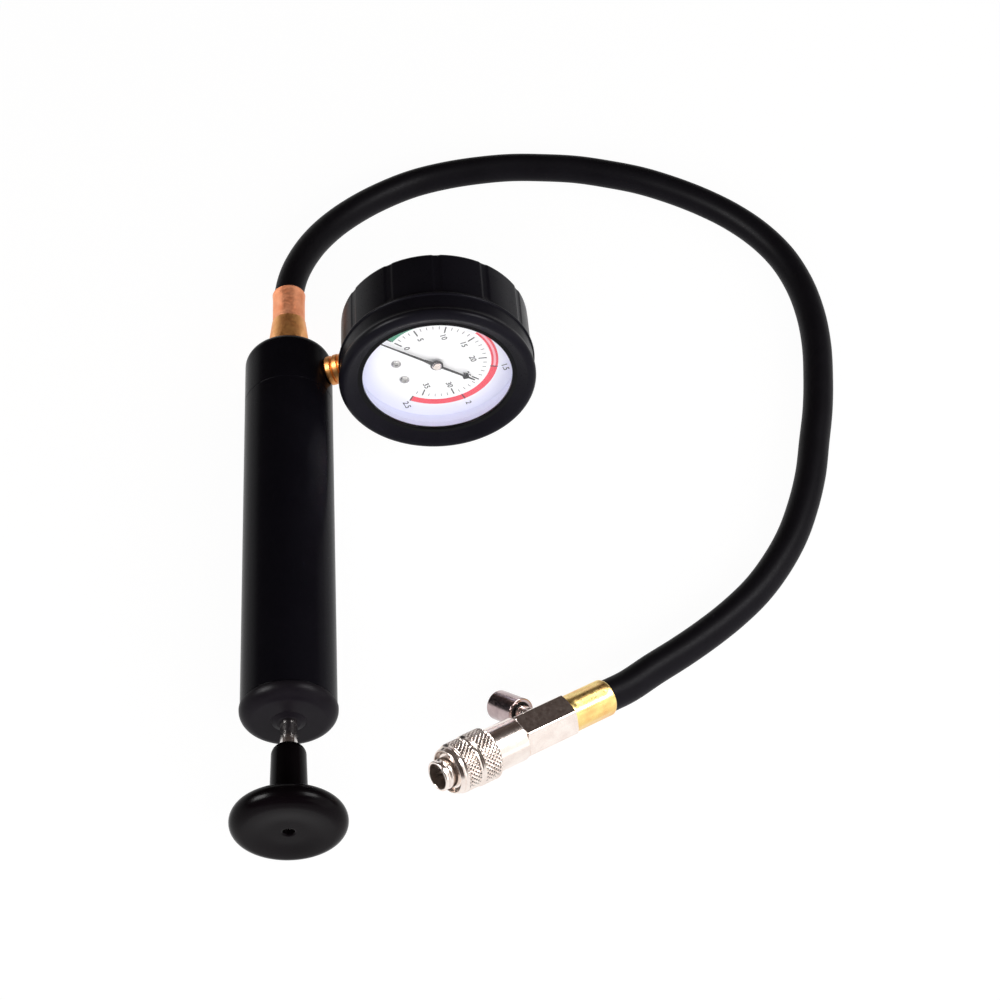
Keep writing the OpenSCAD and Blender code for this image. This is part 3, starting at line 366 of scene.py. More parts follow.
def finish(name, look):
    # one Principled surface: tint for its colour, grain for its roughness, grain or lathe marks for its bump
    material, tree, shader = newMaterial(name, {"Metallic": look.get("metal", 0),
                                                "Specular IOR Level": look.get("specular", 0.5)})
    coordinates = addNode(tree, "TexCoord")
    colour = addGroup(tree, tint, {"Scale": look.get("patch", 60), "Plain": (*look["plain"], 1),
                                   "Tinted": (*look["tinted"], 1)})
    rough = addGroup(tree, grain, {"Scale": look.get("grain", 700), "Low": look["rough"][0],
                                   "High": look["rough"][1]})
    relief = rough
    if "lines" in look:
        relief = addGroup(tree, latheMarks, {"Lines": look["lines"]})
        wire(tree, (addSurfaceMap(tree), "UV", relief, "Vector"))
    bump = addNode(tree, "Bump", {"Strength": 0.5, "Distance": look.get("bump", 1e-5)})
    wire(tree, (coordinates, "Object", colour, "Vector"), (colour, "Color", shader, "Base Color"),
         (coordinates, "Object", rough, "Vector"), (rough, "Value", shader, "Roughness"),
         (relief, "Height", bump, "Height"), (bump, "Normal", shader, "Normal"))
    return material


looks = {
    "blackPaint": {"plain": (0.008, 0.0074, 0.0112), "tinted": (0.0094, 0.0087, 0.013), "rough": (0.2, 0.28),
                   "grain": 1500, "bump": 4e-6, "specular": 0.03},
    "capPaint": {"plain": (0.012, 0.0098, 0.0138), "tinted": (0.0152, 0.0126, 0.017), "rough": (0.3, 0.4),
                 "grain": 1500, "bump": 4e-6, "specular": 0.06},
    "knobPlastic": {"plain": (0.0034, 0.002, 0.003), "tinted": (0.0048, 0.0031, 0.0043), "rough": (0.2, 0.26),
                    "grain": 2600, "bump": 3e-6, "specular": 0.055},
    "bezelPlastic": {"plain": (0.002, 0.002, 0.003), "tinted": (0.003, 0.003, 0.004), "rough": (0.3, 0.42),
                     "grain": 2200, "bump": 6e-6, "specular": 0.1},
    "bootRubber": {"plain": (0.0104, 0.0098, 0.0146), "tinted": (0.0128, 0.012, 0.0176),
                   "rough": (0.26, 0.36), "grain": 1800, "bump": 8e-6, "specular": 0.055},
    "hoseRubber": {"plain": (0.009, 0.008, 0.0108), "tinted": (0.0115, 0.0104, 0.0138), "rough": (0.36, 0.5),
                   "grain": 1400, "bump": 3e-5, "specular": 0.05},
    "sealRubber": {"plain": (0.004, 0.004, 0.004), "tinted": (0.007, 0.006, 0.006), "rough": (0.5, 0.7),
                   "specular": 0.2},
    "yellowBrass": {"plain": (0.97, 0.74, 0.27), "tinted": (0.92, 0.55, 0.2), "rough": (0.24, 0.36),
                    "metal": 1, "patch": 180, "bump": 8e-6, "lines": 9000},
    "orangeBrass": {"plain": (0.86, 0.42, 0.14), "tinted": (0.76, 0.32, 0.1), "rough": (0.34, 0.46),
                    "metal": 1, "patch": 220, "bump": 8e-6},
    "redBrass": {"plain": (0.92, 0.42, 0.23), "tinted": (0.82, 0.32, 0.16), "rough": (0.46, 0.6),
                 "metal": 1, "patch": 160, "bump": 6e-6},
    "innerBrass": {"plain": (0.8, 0.6, 0.28), "tinted": (0.7, 0.48, 0.2), "rough": (0.25, 0.4), "metal": 1},
    "nickel": {"plain": (0.95, 0.86, 0.8), "tinted": (0.88, 0.77, 0.71), "rough": (0.16, 0.24), "metal": 1,
               "patch": 220},
    # the coupler's nickel darkened for the release cup: painted shade
    "shadedNickel": {"plain": (0.5, 0.4, 0.4), "tinted": (0.4, 0.31, 0.31), "rough": (0.14, 0.22), "metal": 1,
                   "patch": 220},
    "steel": {"plain": (0.62, 0.61, 0.6), "tinted": (0.5, 0.49, 0.48), "rough": (0.2, 0.34), "metal": 1},
    "rodChrome": {"plain": (0.8, 0.76, 0.74), "tinted": (0.7, 0.66, 0.64), "rough": (0.12, 0.2), "metal": 1,
                  "bump": 3e-6},
    "aluminium": {"plain": (0.75, 0.75, 0.76), "tinted": (0.68, 0.68, 0.69), "rough": (0.3, 0.45),
                  "metal": 1},
    "pointerBlack": {"plain": (0.006, 0.006, 0.008), "tinted": (0.009, 0.009, 0.011), "rough": (0.35, 0.5),
                     "specular": 0.2},
    "printBlack": {"plain": (0.012, 0.012, 0.015), "tinted": (0.025, 0.025, 0.03), "rough": (0.5, 0.6)},
    "printGreen": {"plain": (0.03, 0.26, 0.15), "tinted": (0.04, 0.3, 0.17), "rough": (0.45, 0.55)},
    "printRed": {"plain": (0.9, 0.055, 0.095), "tinted": (0.86, 0.045, 0.08), "rough": (0.45, 0.55)},
    # pink: a painted highlight of the lens on the red test band
    "lensGlintPink": {"plain": (0.97, 0.5, 0.58), "tinted": (0.95, 0.44, 0.53), "rough": (0.45, 0.55)},
    # the inner wall's lilac is a painted reflection of the lens, as on the dial's rim
    "wallLilacReflection": {"plain": (0.8, 0.82, 1.0), "tinted": (0.79, 0.81, 1.0), "rough": (0.4, 0.5)},
}
paint = {name: finish(name, look) for name, look in looks.items()}


def makeDialWhite():
    # white card that turns lilac towards the rim as a painted reflection of the lens, from the UV map's length
    # along the radius
    facts = {"white": (0.98, 0.98, 0.98, 1), "lilacReflection": (0.83, 0.84, 1.0, 1), "from": 20 * mm, "to": 30 * mm}
    material, tree, shader = newMaterial("dialWhite")
    apart = addNode(tree, "SeparateXYZ")
    ramp = addNode(tree, "MapRange", {"From Min": facts["from"], "From Max": facts["to"]})
    ramp.interpolation_type = "SMOOTHSTEP"
    mix = addColourMix(tree, {6: facts["white"], 7: facts["lilacReflection"]})
    rough = addGroup(tree, grain, {"Low": 0.4, "High": 0.5})
    wire(tree, (addSurfaceMap(tree), "UV", apart, 0), (apart, "Y", ramp, "Value"), (ramp, "Result", mix, 0),
         (mix, 2, shader, "Base Color"), (rough, "Value", shader, "Roughness"))
    return material


def makeLensGlass():
    # clear plastic that lets light through to the dial
    material, tree, shader = newMaterial("lensGlass", {"Base Color": (1, 1, 1, 1), "Roughness": 0.02,
                                                       "IOR": 1.45, "Transmission Weight": 1})
    mix = addNode(tree, "MixShader")
    wire(tree, (addNode(tree, "LightPath"), "Is Shadow Ray", mix, 0), (shader, 0, mix, 1),
         (addNode(tree, "BsdfTransparent"), 0, mix, 2), (mix, 0, tree.nodes["Material Output"], "Surface"))
    return material


paint["dialWhite"] = makeDialWhite()
paint["lensGlass"] = makeLensGlass()
print("materials ready")

# hose, a free cord from the pump's ferrule to the coupler
hoseFacts = {"diameter": 12.5 * mm, "grip": 12 * mm, "sides": 48, "rings": 420}
hoseLying = [(-0.0385, 0.1433, 0.0171), (-0.0320, 0.1630, 0.0150), (-0.0225, 0.1800, 0.0120),
             (-0.0105, 0.1940, 0.0095), (0.0025, 0.2050, 0.0075), (0.0165, 0.2130, 0.0065),
             (0.0310, 0.2175, 0.0063), (0.0460, 0.2200, 0.0063), (0.0610, 0.2210, 0.0063),
             (0.0760, 0.2200, 0.0063), (0.0905, 0.2180, 0.0063), (0.1050, 0.2140, 0.0063),
             (0.1190, 0.2090, 0.0063), (0.1325, 0.2020, 0.0063), (0.1455, 0.1935, 0.0063),
             (0.1575, 0.1835, 0.0063), (0.1680, 0.1715, 0.0063), (0.1765, 0.1570, 0.0063),
             (0.1820, 0.1400, 0.0063), (0.1845, 0.1220, 0.0063), (0.1845, 0.1030, 0.0063),
             (0.1825, 0.0845, 0.0063), (0.1795, 0.0660, 0.0063), (0.1755, 0.0485, 0.0063),
             (0.1715, 0.0315, 0.0063), (0.1660, 0.0150, 0.0063), (0.1595, 0.0000, 0.0063),
             (0.1515, -0.0135, 0.0063), (0.1420, -0.0260, 0.0063), (0.1315, -0.0365, 0.0065),
             (0.1205, -0.0460, 0.0073), (0.1090, -0.0550, 0.0085), (0.0975, -0.0635, 0.0102)]


def smoothPath(points, count):
    # cubic pieces through the points, their slopes taken across each point's neighbours,
    # then points at even distances along them
    points = np.asarray(points, float)
    knots = np.concatenate([[0], np.cumsum(np.linalg.norm(np.diff(points, axis=0), axis=1))])
    slopes = np.gradient(points, knots, axis=0)
    s = np.linspace(0, knots[-1], count * 4)
    k = np.clip(np.searchsorted(knots, s, side="right") - 1, 0, len(points) - 2)
    h = (knots[k + 1] - knots[k])[:, None]
    t = (s[:, None] - knots[k][:, None]) / h
    dense = ((2 * t**3 - 3 * t**2 + 1) * points[k] + (t**3 - 2 * t**2 + t) * h * slopes[k]
             + (3 * t**2 - 2 * t**3) * points[k + 1] + (t**3 - t**2) * h * slopes[k + 1])
    travelled = np.concatenate([[0], np.cumsum(np.linalg.norm(np.diff(dense, axis=0), axis=1))])
    even = np.linspace(0, travelled[-1], count)
    return np.column_stack([np.interp(even, travelled, dense[:, c]) for c in range(3)]), travelled[-1]


pumpMouth = toWorld(pump, (0, 0, span("pump_ferrule", pump)[1]))
grip, width = hoseFacts["grip"], hoseFacts["diameter"]
couplerMouth = coupler["origin"]
hoseRoute = [pumpMouth - pumpAxis * grip, pumpMouth, *[np.array(p) for p in hoseLying],
             couplerMouth - couplerAxis * width * 0.8, couplerMouth, couplerMouth + couplerAxis * grip]
hosePath, hoseLength = smoothPath(hoseRoute, hoseFacts["rings"])
hose = swept("hoseTube", hosePath, width / 2, hoseFacts["sides"])
dress(hose, "pump", "hoseRubber", "hose_rubber", "hose")
print("hose ready, length", round(hoseLength, 4))


# pump
def pumpBody():
    head1 = spanMm("pump_head", pump)[1]
    tube0, tube1, tubeR = spanMm("barrel", pump)
    capR = spanMm("end_cap", pump)[2]
    facts = {"wall": 1.5, "spigot": 1.6, "capRound": 5, "capBore": 5, "capSpigot": 8, "hole": 6.5,
             "holeDepth": 1, "land": 1.2, "seam": 0.3, "headRound": 5.5, "headSeam": 0.25, "headSpigot": 4,
             "port": 4, "portDepth": 8}
    inner, tight = tubeR - facts["wall"], tubeR - facts["spigot"]
    body = [(0.01, tube0), (inner, tube0), (tubeR, tube0, 0.2), (tubeR, tube1, 0.3), (inner, tube1),
            (0.01, tube1)]
    dress(turned("barrelTube", body, pump, 192), "pump", "blackPaint", "black_paint", "barrel")
    start = tube1 - facts["headSpigot"]
    head = [(0.01, start), (tight, start), (tight, tube1 + 0.01), (tubeR, tube1 + 0.01, facts["headSeam"]),
            (tubeR, head1, facts["headRound"]), (facts["port"], head1, 0.2),
            (facts["port"], head1 - facts["portDepth"]), (0.01, head1 - facts["portDepth"])]
    dress(turned("headCasting", head, pump, 192, steps=14), "pump", "blackPaint", "black_paint", "pump_head")
    # the rounding of the cap's rim as points of its own, as it takes nearly the whole length of the cap
    bend = roundEdge(capR, 0, facts["capRound"], math.pi / 2, 0, 18)
    cap = [(facts["capBore"], tube0 + facts["capSpigot"]), (facts["capBore"], facts["holeDepth"]),
           (facts["hole"], facts["holeDepth"]), (facts["hole"], 0, 0.12), (facts["hole"] + facts["land"], 0),
           *bend, (capR, tube0 - 0.5, 0.1), (capR - facts["seam"], tube0 - 0.2, 0.05), (tubeR - 0.25, tube0),
           (tight, tube0), (tight, tube0 + facts["capSpigot"])]
    dress(turned("frontCap", cap, pump, 192, closeRows=True, steps=6), "pump", "capPaint", "black_paint",
          "end_cap")


def rodGuide():
    facts = {"bore": 3.32, "nose": 4.4, "out": 0.7, "flange": 6.46, "thick": 0.9, "bush": 5, "long": 16}
    guide = [(facts["bore"], -facts["out"], 0.1), (facts["nose"], -facts["out"], 0.8),
             (facts["flange"], 0, 0.1), (facts["flange"], facts["thick"]), (facts["bush"], facts["thick"]),
             (facts["bush"], facts["long"]), (facts["bore"], facts["long"])]
    dress(turned("rodGuideBush", guide, pump, 96, closeRows=True), "pump", "capPaint", "nylon", "rod_guide")


def plungerParts():
    knob0, knob1, knobR = spanMm("push_knob", pump)
    facts = {"thick": 9.7, "round": 4.8, "dish": 0.6, "dishFrom": 4, "dishFlat": 6.5, "dishWide": 9.8,
             "pit": 2.0, "pitDepth": 4, "stem": 7, "flare": 4.6, "end": 6.5, "endRound": 3.8, "endTurn": 1.45,
             "bore": 3.27, "boreDepth": 20}
    back, face, stem = knob0 + facts["thick"], knob0 + facts["dish"], facts["stem"]
    dome = roundEdge(facts["end"], knob1, facts["endRound"], 0, facts["endTurn"], 14, inward=-1)
    rim = roundEdge(knobR, knob0, facts["round"], math.pi / 2, 0, 18)
    rim += roundEdge(knobR, back, facts["round"], 0, math.pi / 2, 18, inward=-1)
    # the dish rises softly from its flat middle to the crest of the rim, as half a cosine wave
    reach = np.linspace(facts["dishFrom"], knobR - facts["round"] - 0.1, 26)
    wave = 0.5 - 0.5 * np.cos(np.pi * np.clip((reach - facts["dishFlat"]) / facts["dishWide"], 0, 1))
    dish = [(r, face - facts["dish"] * w, 0) for r, w in zip(reach, wave)]
    profile = [(0.01, face + facts["pitDepth"]), (facts["pit"], face + facts["pitDepth"], 0.1),
               (facts["pit"], face, 0.9), *dish, *rim, (stem + facts["flare"], back, 2.0),
               (stem + 0.6, back + 1.6, 3), (stem, back + 5, 4), *dome, (facts["bore"], knob1, 0.1),
               (facts["bore"], knob1 - facts["boreDepth"]), (0.01, knob1 - facts["boreDepth"])]
    dress(turned("pushKnob", profile, pump, 192, steps=12), "plunger", "knobPlastic", "black_plastic",
          "push_knob")
    rod0, rod1, rodR = spanMm("piston_rod", pump)
    step = {"at": 127, "radius": 2.5}
    bar = [(0.01, rod0), (rodR, rod0, 0.4), (rodR, step["at"], 0.2), (step["radius"], step["at"]),
           (step["radius"], rod1, 0.4), (0.01, rod1)]
    dress(turned("pistonRod", bar, pump, 96), "plunger", "rodChrome", "steel", "piston_rod")


def hoseFitting():
    ferrule0, head1 = spanMm("pump_ferrule", pump)[0], spanMm("pump_head", pump)[1]
    facts = {"flats": 16.2, "wide": 9.5, "narrow": 7.25, "turn": math.pi / 6, "seat": 0.3}
    slope = (facts["wide"] - facts["narrow"]) / (ferrule0 - head1)
    hexPiece("fittingHex", pump, head1, ferrule0 + facts["seat"], facts["flats"],
             lambda z: facts["wide"] - (z - head1) * slope, facts["turn"], "orangeBrass", "brass",
             "hose_fitting")
    crimped("pumpCrimp", pump, "pump_ferrule", "redBrass", "red_brass")


def crimped(name, place, node, finishName, slot):
    # a tube whose radius dips by depth cos²(flats angle / 2), fading out at both ends
    z0, z1, outer = spanMm(node, place)
    facts = {"bore": 6.35, "flats": 8, "depth": 0.28, "fade": 1.2, "step": 0.6}
    bore, flats, fade = facts["bore"], facts["flats"], facts["fade"]
    line = denser(roundedProfile([
        (bore, z0 + 0.3), (bore, z0, 0.15), (outer - 0.3, z0, 0.15), (outer, z0 + 0.5, 0.3),
        (outer, z0 + 1.5), (outer, (z0 + z1) / 2), (outer, z1 - 1.5), (outer, z1 - 0.3, 0.25),
        (outer - 0.35, z1, 0.12), (bore, z1, 0.15), (bore, z1 - 0.3)]), facts["step"])
    angle = fullTurn(flats * 24)
    z = line[:, 1] / mm
    share = np.clip((z - z0 - fade) / fade, 0, 1) * np.clip((z1 - fade - z) / fade, 0, 1)
    share *= line[:, 0] > (outer - 0.2) * mm
    dip = np.cos(angle * flats / 2) ** 2
    radius = line[:, :1] - share[:, None] * dip[None] * facts["depth"] * mm
    piece = gridPiece(name, toWorld(place, ringGrid(radius, line[:, 1:], angle)), closeRows=True)
    return dress(piece, "pump", finishName, slot, node)


def hexPiece(name, place, z0, z1, flats, limit, turn, finishName, slot, node):
    # the radius is half the width over the cosine to the nearest flat, its corners softened,
    # and nowhere more than the limit at its height
    facts = {"rows": 30, "endRows": 14, "endDeep": 2, "sides": 240, "corner": math.radians(29)}
    ends = np.linspace(0, facts["endDeep"], facts["endRows"])
    rows = np.unique(np.concatenate([np.linspace(z0, z1, facts["rows"]), z0 + ends, z1 - ends]))
    angle = fullTurn(facts["sides"])
    facing = np.max([np.cos(angle - turn - k * np.pi / 3) for k in range(6)], axis=0)
    facing = np.clip(facing, math.cos(facts["corner"]), None)
    radius = np.minimum((flats / 2 / facing)[None], limit(rows)[:, None])
    grid = ringGrid(radius, rows[:, None], angle)
    grid = np.concatenate([grid[:1] * (0, 0, 1), grid, grid[-1:] * (0, 0, 1)]) * mm
    return dress(gridPiece(name, toWorld(place, grid), sharp=22), "pump", finishName, slot, node)


pumpBody()
rodGuide()
plungerParts()
hoseFitting()
print("pump ready")


# gauge
def gaugeBoot():
    low, _, reach = spanMm("gauge_boot", gauge)
    facts = {"body": 38.5, "mouth": 31.8, "bead": 2.5, "lip": 12.5, "ridge": 0.8, "waist": 0.66,
             "grooves": 12, "grooveWidth": 3.6, "grooveDepth": 0.3, "groovePhase": math.radians(8.5),
             "hole": 12.05}
    body, lip = facts["body"], facts["lip"]
    # the lip's bead is a round of its own, and the face inside it slopes down to the window at its tangent
    bead = roundEdge(reach, 0, facts["bead"], math.radians(118), math.radians(-38), 28, inward=-1)
    ridge = roundEdge(reach, -lip, facts["ridge"], math.radians(-75), math.radians(90), 16)
    line = denser(roundedProfile([
        (facts["mouth"], -3.4), (facts["mouth"], -2.9, 0.25), *bead, (reach - facts["waist"], -5.2, 2),
        (reach - 0.6, -lip + 2.2, 0.6), *ridge, (body, -lip, 0.3), (body, -16), (body, -22),
        (body - 0.1, -30), (body - 0.3, low, 2.2), (facts["hole"], low, 0.8), (facts["hole"], low + 2.5)],
        7), 0.9)
    # behind the lip the radius dips by 1 - (offset / half width)⁴ in each groove
    angle = fullTurn(facts["grooves"] * 48)
    pitch = 2 * np.pi / facts["grooves"]
    offset = (angle - facts["groovePhase"] + pitch / 2) % pitch - pitch / 2
    groove = np.clip(1 - (np.abs(offset) / (facts["grooveWidth"] / 2 / body)) ** 4, 0, 1)
    z, r = line[:, 1] / mm, line[:, 0] / mm
    along = np.clip((-lip - 1 - z) / 1.2, 0, 1) * np.clip((r - body + 5) / 3, 0, 1)
    radius = (r[:, None] - facts["grooveDepth"] * along[:, None] * groove[None]) * mm
    piece = gridPiece("rubberBoot", toWorld(gauge, ringGrid(radius, line[:, 1:], angle)), sharp=50)
    dress(piece, "pump", "bootRubber", "boot_rubber", "gauge_boot")


def gaugeFront():
    front = spanMm("dial_plate", gauge)[1]
    facts = {"window": 30.2, "bezel": 34.2, "bezelFace": -2.7, "bezelBack": -8, "lens": 33.2,
             "lensFront": -3.75, "lensBack": -5.7, "card": 32.3, "cardThick": 0.6, "wallIn": 32.15,
             "wallOut": 32.5, "wallTop": -6.55}
    window, edge, face, back = facts["window"], facts["bezel"], facts["bezelFace"], facts["bezelBack"]
    bezel = [(window, face - 1.7), (window, face, 0.5), (edge - 1.8, face, 0.5), (edge, face - 0.5, 0.5),
             (edge, back), (edge - 0.7, back), (edge - 0.7, face - 1), (window + 0.4, face - 1)]
    dress(turned("bezelRing", bezel, gauge, 192, closeRows=True), "pump", "bezelPlastic", "black_plastic",
          "gauge_bezel")
    lens = [(0.01, facts["lensBack"]), (facts["lens"], facts["lensBack"], 0.2),
            (facts["lens"], facts["lensFront"], 0.2), (0.01, facts["lensFront"])]
    dress(turned("clearLens", lens, gauge, 160), "pump", "lensGlass", "clear_lens", "gauge_lens")
    card = [(r, front, 0) for r in (0.01, 8, 16, 22, 26, 29)]
    card += [(facts["card"], front, 0.1), (facts["card"], front - facts["cardThick"], 0.1),
             (0.01, front - facts["cardThick"])]
    dress(turned("dialCard", card, gauge, 160), "pump", "dialWhite", "dial_white", "dial_plate")
    # the case's pale inner wall between the dial and the lens, lilac with the same painted reflection of the lens
    # as the dial's rim
    wall = [(facts["wallIn"], front), (facts["wallIn"], facts["wallTop"]),
            (facts["wallOut"], facts["wallTop"]), (facts["wallOut"], front)]
    dress(turned("paleWall", wall, gauge, 160, closeRows=True), "pump", "wallLilacReflection", "dial_white")
    return front


dial = {"zero": 133.3, "restMark": 125, "sweep": 270, "fullBar": 2.5, "psiPerBar": 14.5038, "tickOut": 20.4,
             "tickMajor": 3.4, "tickMinor": 1.5, "majorWide": 0.52, "minorWide": 0.22, "bandIn": 22.2,
             "bandOut": 25.0, "numberIn": 14.6, "numberOut": 28.1, "greenIn": 21.5, "greenTo": 0.5,
             "pinkFrom": 1.0, "pinkTo": 1.5, "digits": 2.5, "digitBold": 0.05, "lift": 0.06}


def dialAngle(bar):
    # the scale's start is pushed back to the pointer's stop
    angle = dial["zero"] - dial["sweep"] * bar / dial["fullBar"]
    return math.radians(min(angle, dial["restMark"]))

def arcBand(name, r0, r1, bar0, bar1, z0, z1, finishName, steps=60):
    # a ring segment as four arcs, with quads between neighbours so that no long thin faces cross it
    angles = np.linspace(dialAngle(bar0), dialAngle(bar1), steps)
    ring = np.column_stack([np.cos(angles), np.sin(angles)])
    arcs = np.concatenate([np.column_stack([ring * r, np.full(steps, z)])
                           for r, z in ((r0, z0), (r1, z0), (r1, z1), (r0, z1))])
    faces = []
    for k in range(4):
        here, there = k * steps, (k + 1) % 4 * steps
        faces += [[here + i, here + i + 1, there + i + 1, there + i] for i in range(steps - 1)]
    faces += [[k * steps for k in range(4)], [(k + 1) * steps - 1 for k in (0, 3, 2, 1)]]
    dress(meshObject(name, toWorld(gauge, arcs * mm), faces), "pump", finishName, "dial_white")


def barBlock(r0, r1, angle, width, z0, z1):
    # a thin bar along a radius, as eight corners and six faces
    along = np.array([math.cos(angle), math.sin(angle)])
    across = np.array([-along[1], along[0]]) * width / 2
    flat = [along * r0 - across, along * r1 - across, along * r1 + across, along * r0 + across]
    corners = [(*p, z0) for p in flat] + [(*p, z1) for p in flat]
    faces = [[3, 2, 1, 0], [4, 5, 6, 7], [0, 1, 5, 4], [1, 2, 6, 5], [2, 3, 7, 6], [3, 0, 4, 7]]
    return corners, faces


def dialTicks(z0, z1):
    vertices, faces = [], []
    fullPsi = dial["fullBar"] * dial["psiPerBar"]
    marks = []
    for psi in range(int(fullPsi) + 1):
        major = psi % 5 == 0
        if psi == 1:
            continue  # it would fall on the zero mark
        depth = dial["tickMajor"] if major else dial["tickMinor"]
        marks.append((dial["tickOut"] - depth, dial["tickOut"], psi / dial["psiPerBar"],
                      dial["majorWide"] if major else dial["minorWide"]))
    for bar in (0, 0.5, 1.5, 2, 2.5):
        marks.append((dial["bandIn"] - 0.15, dial["bandOut"] + 0.1, bar, 0.5))
    for r0, r1, bar, width in marks:
        corners, quads = barBlock(r0, r1, dialAngle(bar), width, z0, z1 + 0.03)
        faces += [[q + len(vertices) for q in quad] for quad in quads]
        vertices += corners
    piece = meshObject("dialTicks", toWorld(gauge, np.array(vertices) * mm), faces, weld=False)
    dress(piece, "pump", "printBlack", "pointer_black")


def dialNumbers(z0, z1):
    # each number is turned so that its top looks away from the stem, then all are joined
    vertices, faces = [], []
    fullPsi = dial["fullBar"] * dial["psiPerBar"]
    labels = [(str(psi), dial["numberIn"], psi / dial["psiPerBar"]) for psi in range(0, int(fullPsi) + 1, 5)]
    labels += [(f"{bar:g}", dial["numberOut"], bar) for bar in (0.5, 1, 1.5, 2, 2.5)]
    depsgraph = bpy.context.evaluated_depsgraph_get()
    for text, radius, bar in labels:
        curve = bpy.data.curves.new("digits", "FONT")
        curve.body = text
        curve.size = dial["digits"] * 1.35  # a digit is lower than its type size
        curve.align_x = "CENTER"
        curve.align_y = "CENTER"
        curve.extrude = (z1 - z0) / 2
        curve.offset = dial["digitBold"]
        curve.resolution_u = 3
        holder = bpy.data.objects.new("digits", curve)
        bpy.context.scene.collection.objects.link(holder)
        depsgraph.update()
        mesh = bpy.data.meshes.new_from_object(holder.evaluated_get(depsgraph))
        flat = np.empty(len(mesh.vertices) * 3)
        mesh.vertices.foreach_get("co", flat)
        x, y, z = flat.reshape(-1, 3).T
        angle = dialAngle(bar)
        faces += [[v + len(vertices) for v in polygon.vertices] for polygon in mesh.polygons]
        vertices += list(zip(y + radius * math.cos(angle), -x + radius * math.sin(angle), z + (z0 + z1) / 2))
        bpy.data.objects.remove(holder)
        bpy.data.meshes.remove(mesh)
        bpy.data.curves.remove(curve)
    piece = meshObject("dialNumbers", toWorld(gauge, np.array(vertices) * mm), faces)
    dress(piece, "pump", "printBlack", "pointer_black")


def dialPrint(dialFront):
    z0, z1 = dialFront + 0.01, dialFront + dial["lift"]
    inner, outer = dial["bandIn"], dial["bandOut"]
    arcBand("greenBand", dial["greenIn"], outer, 0, dial["greenTo"], z0, z1, "printGreen")
    # the test band is red print, and its middle third is pink as a painted highlight of the lens
    for k, colour in enumerate(("printRed", "lensGlintPink", "printRed")):
        step = (outer - inner) / 3
        arcBand("testBand" + "ABC"[k], inner + k * step, inner + (k + 1) * step, dial["pinkFrom"],
                dial["pinkTo"], z0, z1, colour)
    arcBand("redBand", inner, outer, dial["pinkTo"], 2.5, z0, z1, "printRed")
    dialTicks(z0, z1)
    dialNumbers(z0, z1)


def pointerParts():
    top = spanMm("pointer", gauge)[1]
    facts = {"zero": math.radians(129), "long": 26.5, "tail": 18, "hub": 2.6, "hubGap": 0.32, "weight0": 12.3,
             "weight1": 15.1, "weightHalf": 1.5, "thick": 0.4, "dome": 2.0, "domeHigh": 1.0}
    turn = np.array([[math.cos(facts["zero"]), math.sin(facts["zero"])],
                     [-math.sin(facts["zero"]), math.cos(facts["zero"])]])
    hub = [(facts["hub"] * math.cos(a), facts["hub"] * math.sin(a))
           for a in np.linspace(facts["hubGap"], 2 * math.pi - facts["hubGap"], 40)]
    half = [(facts["long"], -0.15), (facts["long"], 0.15), (6, 0.45)]
    half += [h for h in hub if h[0] > -2.5 and h[1] > 0]
    middle = (facts["weight0"] + facts["weight1"]) / 2
    up = [(-facts["hub"], 0.5), (-facts["weight0"], 0.36), (-middle + 0.3, facts["weightHalf"]),
          (-middle - 0.3, facts["weightHalf"]), (-facts["weight1"], 0.3), (-facts["tail"], 0.15)]
    outline = half + up + [(x, -y) for x, y in up[::-1]] + [(x, -y) for x, y in half[:1:-1]]
    blade = plate("pointerBlade", np.array(outline) @ turn, top - facts["thick"], top, gauge)
    dress(blade, "pointer_assembly", "pointerBlack", "pointer_black", "pointer")
    dome, high = facts["dome"], facts["domeHigh"]
    profile = [(0.01, top - 0.2), (dome, top - 0.2), (dome, top + 0.35, 0.3),
               (dome - 0.5, top + high - 0.05, 0.5), (0.01, top + high)]
    dress(turned("hubDome", profile, gauge, 64), "pointer_assembly", "nickel", "steel", "pointer_hub")


def dialScrew(name, degrees, dialFront, *nodes):
    facts = {"away": 16.4, "head": 2.0, "slot": 0.5, "slotDeep": 0.4, "high": 0.85}
    angle = math.radians(degrees)
    centre = np.array([math.cos(angle), math.sin(angle), 0]) * facts["away"] * mm
    spot = makePlace(toWorld(gauge, centre), gauge["axes"][2], gauge["axes"][0])
    top = dialFront + facts["high"]
    head = [(0.01, top - facts["slotDeep"]), (facts["slot"], top - facts["slotDeep"]),
            (facts["slot"] + 0.05, top, 0.1), (facts["head"] - 0.6, top - 0.1, 0.5),
            (facts["head"], top - 0.5, 0.3), (facts["head"], dialFront), (0.01, dialFront)]
    dress(turned(name, head, spot, 48), "pump", "steel", "steel", *nodes)


def gaugeAdapter():
    spot = makePlace(boxCentre("gauge_adapter"), gauge["axes"][0], gauge["axes"][2])
    low, high, reach = spanMm("gauge_adapter", spot)
    facts = {"shank": 4, "shankLong": 9, "rings": 3, "pitch": 3.0, "ringWide": 1.9, "ringHigh": 0.9}
    start = low + facts["shankLong"]
    bead = [(0.01, low), (facts["shank"], low), (facts["shank"], start), (reach - 0.7, start, 0.2)]
    for k in range(facts["rings"]):
        z = start + 0.6 + k * facts["pitch"]
        end, foot = z + facts["ringWide"], reach - facts["ringHigh"]
        bead += [(reach, z, 0.35), (reach, end, 0.35), (foot, end + 0.4, 0.2), (foot, end + 0.7, 0.2)]
    bead += [(reach, start + facts["rings"] * facts["pitch"] + 0.6, 0.3), (reach, high, 0.2), (0.01, high)]
    dress(turned("gaugeNipple", bead, spot, 96), "pump", "orangeBrass", "brass", "gauge_adapter")


gaugeBoot()
dialFront = gaugeFront()
dialPrint(dialFront)
pointerParts()
dialScrew("dialScrewLeft", 161.4, dialFront, "dial_screws")
dialScrew("dialScrewRight", 196.4, dialFront)
gaugeAdapter()
print("gauge ready")


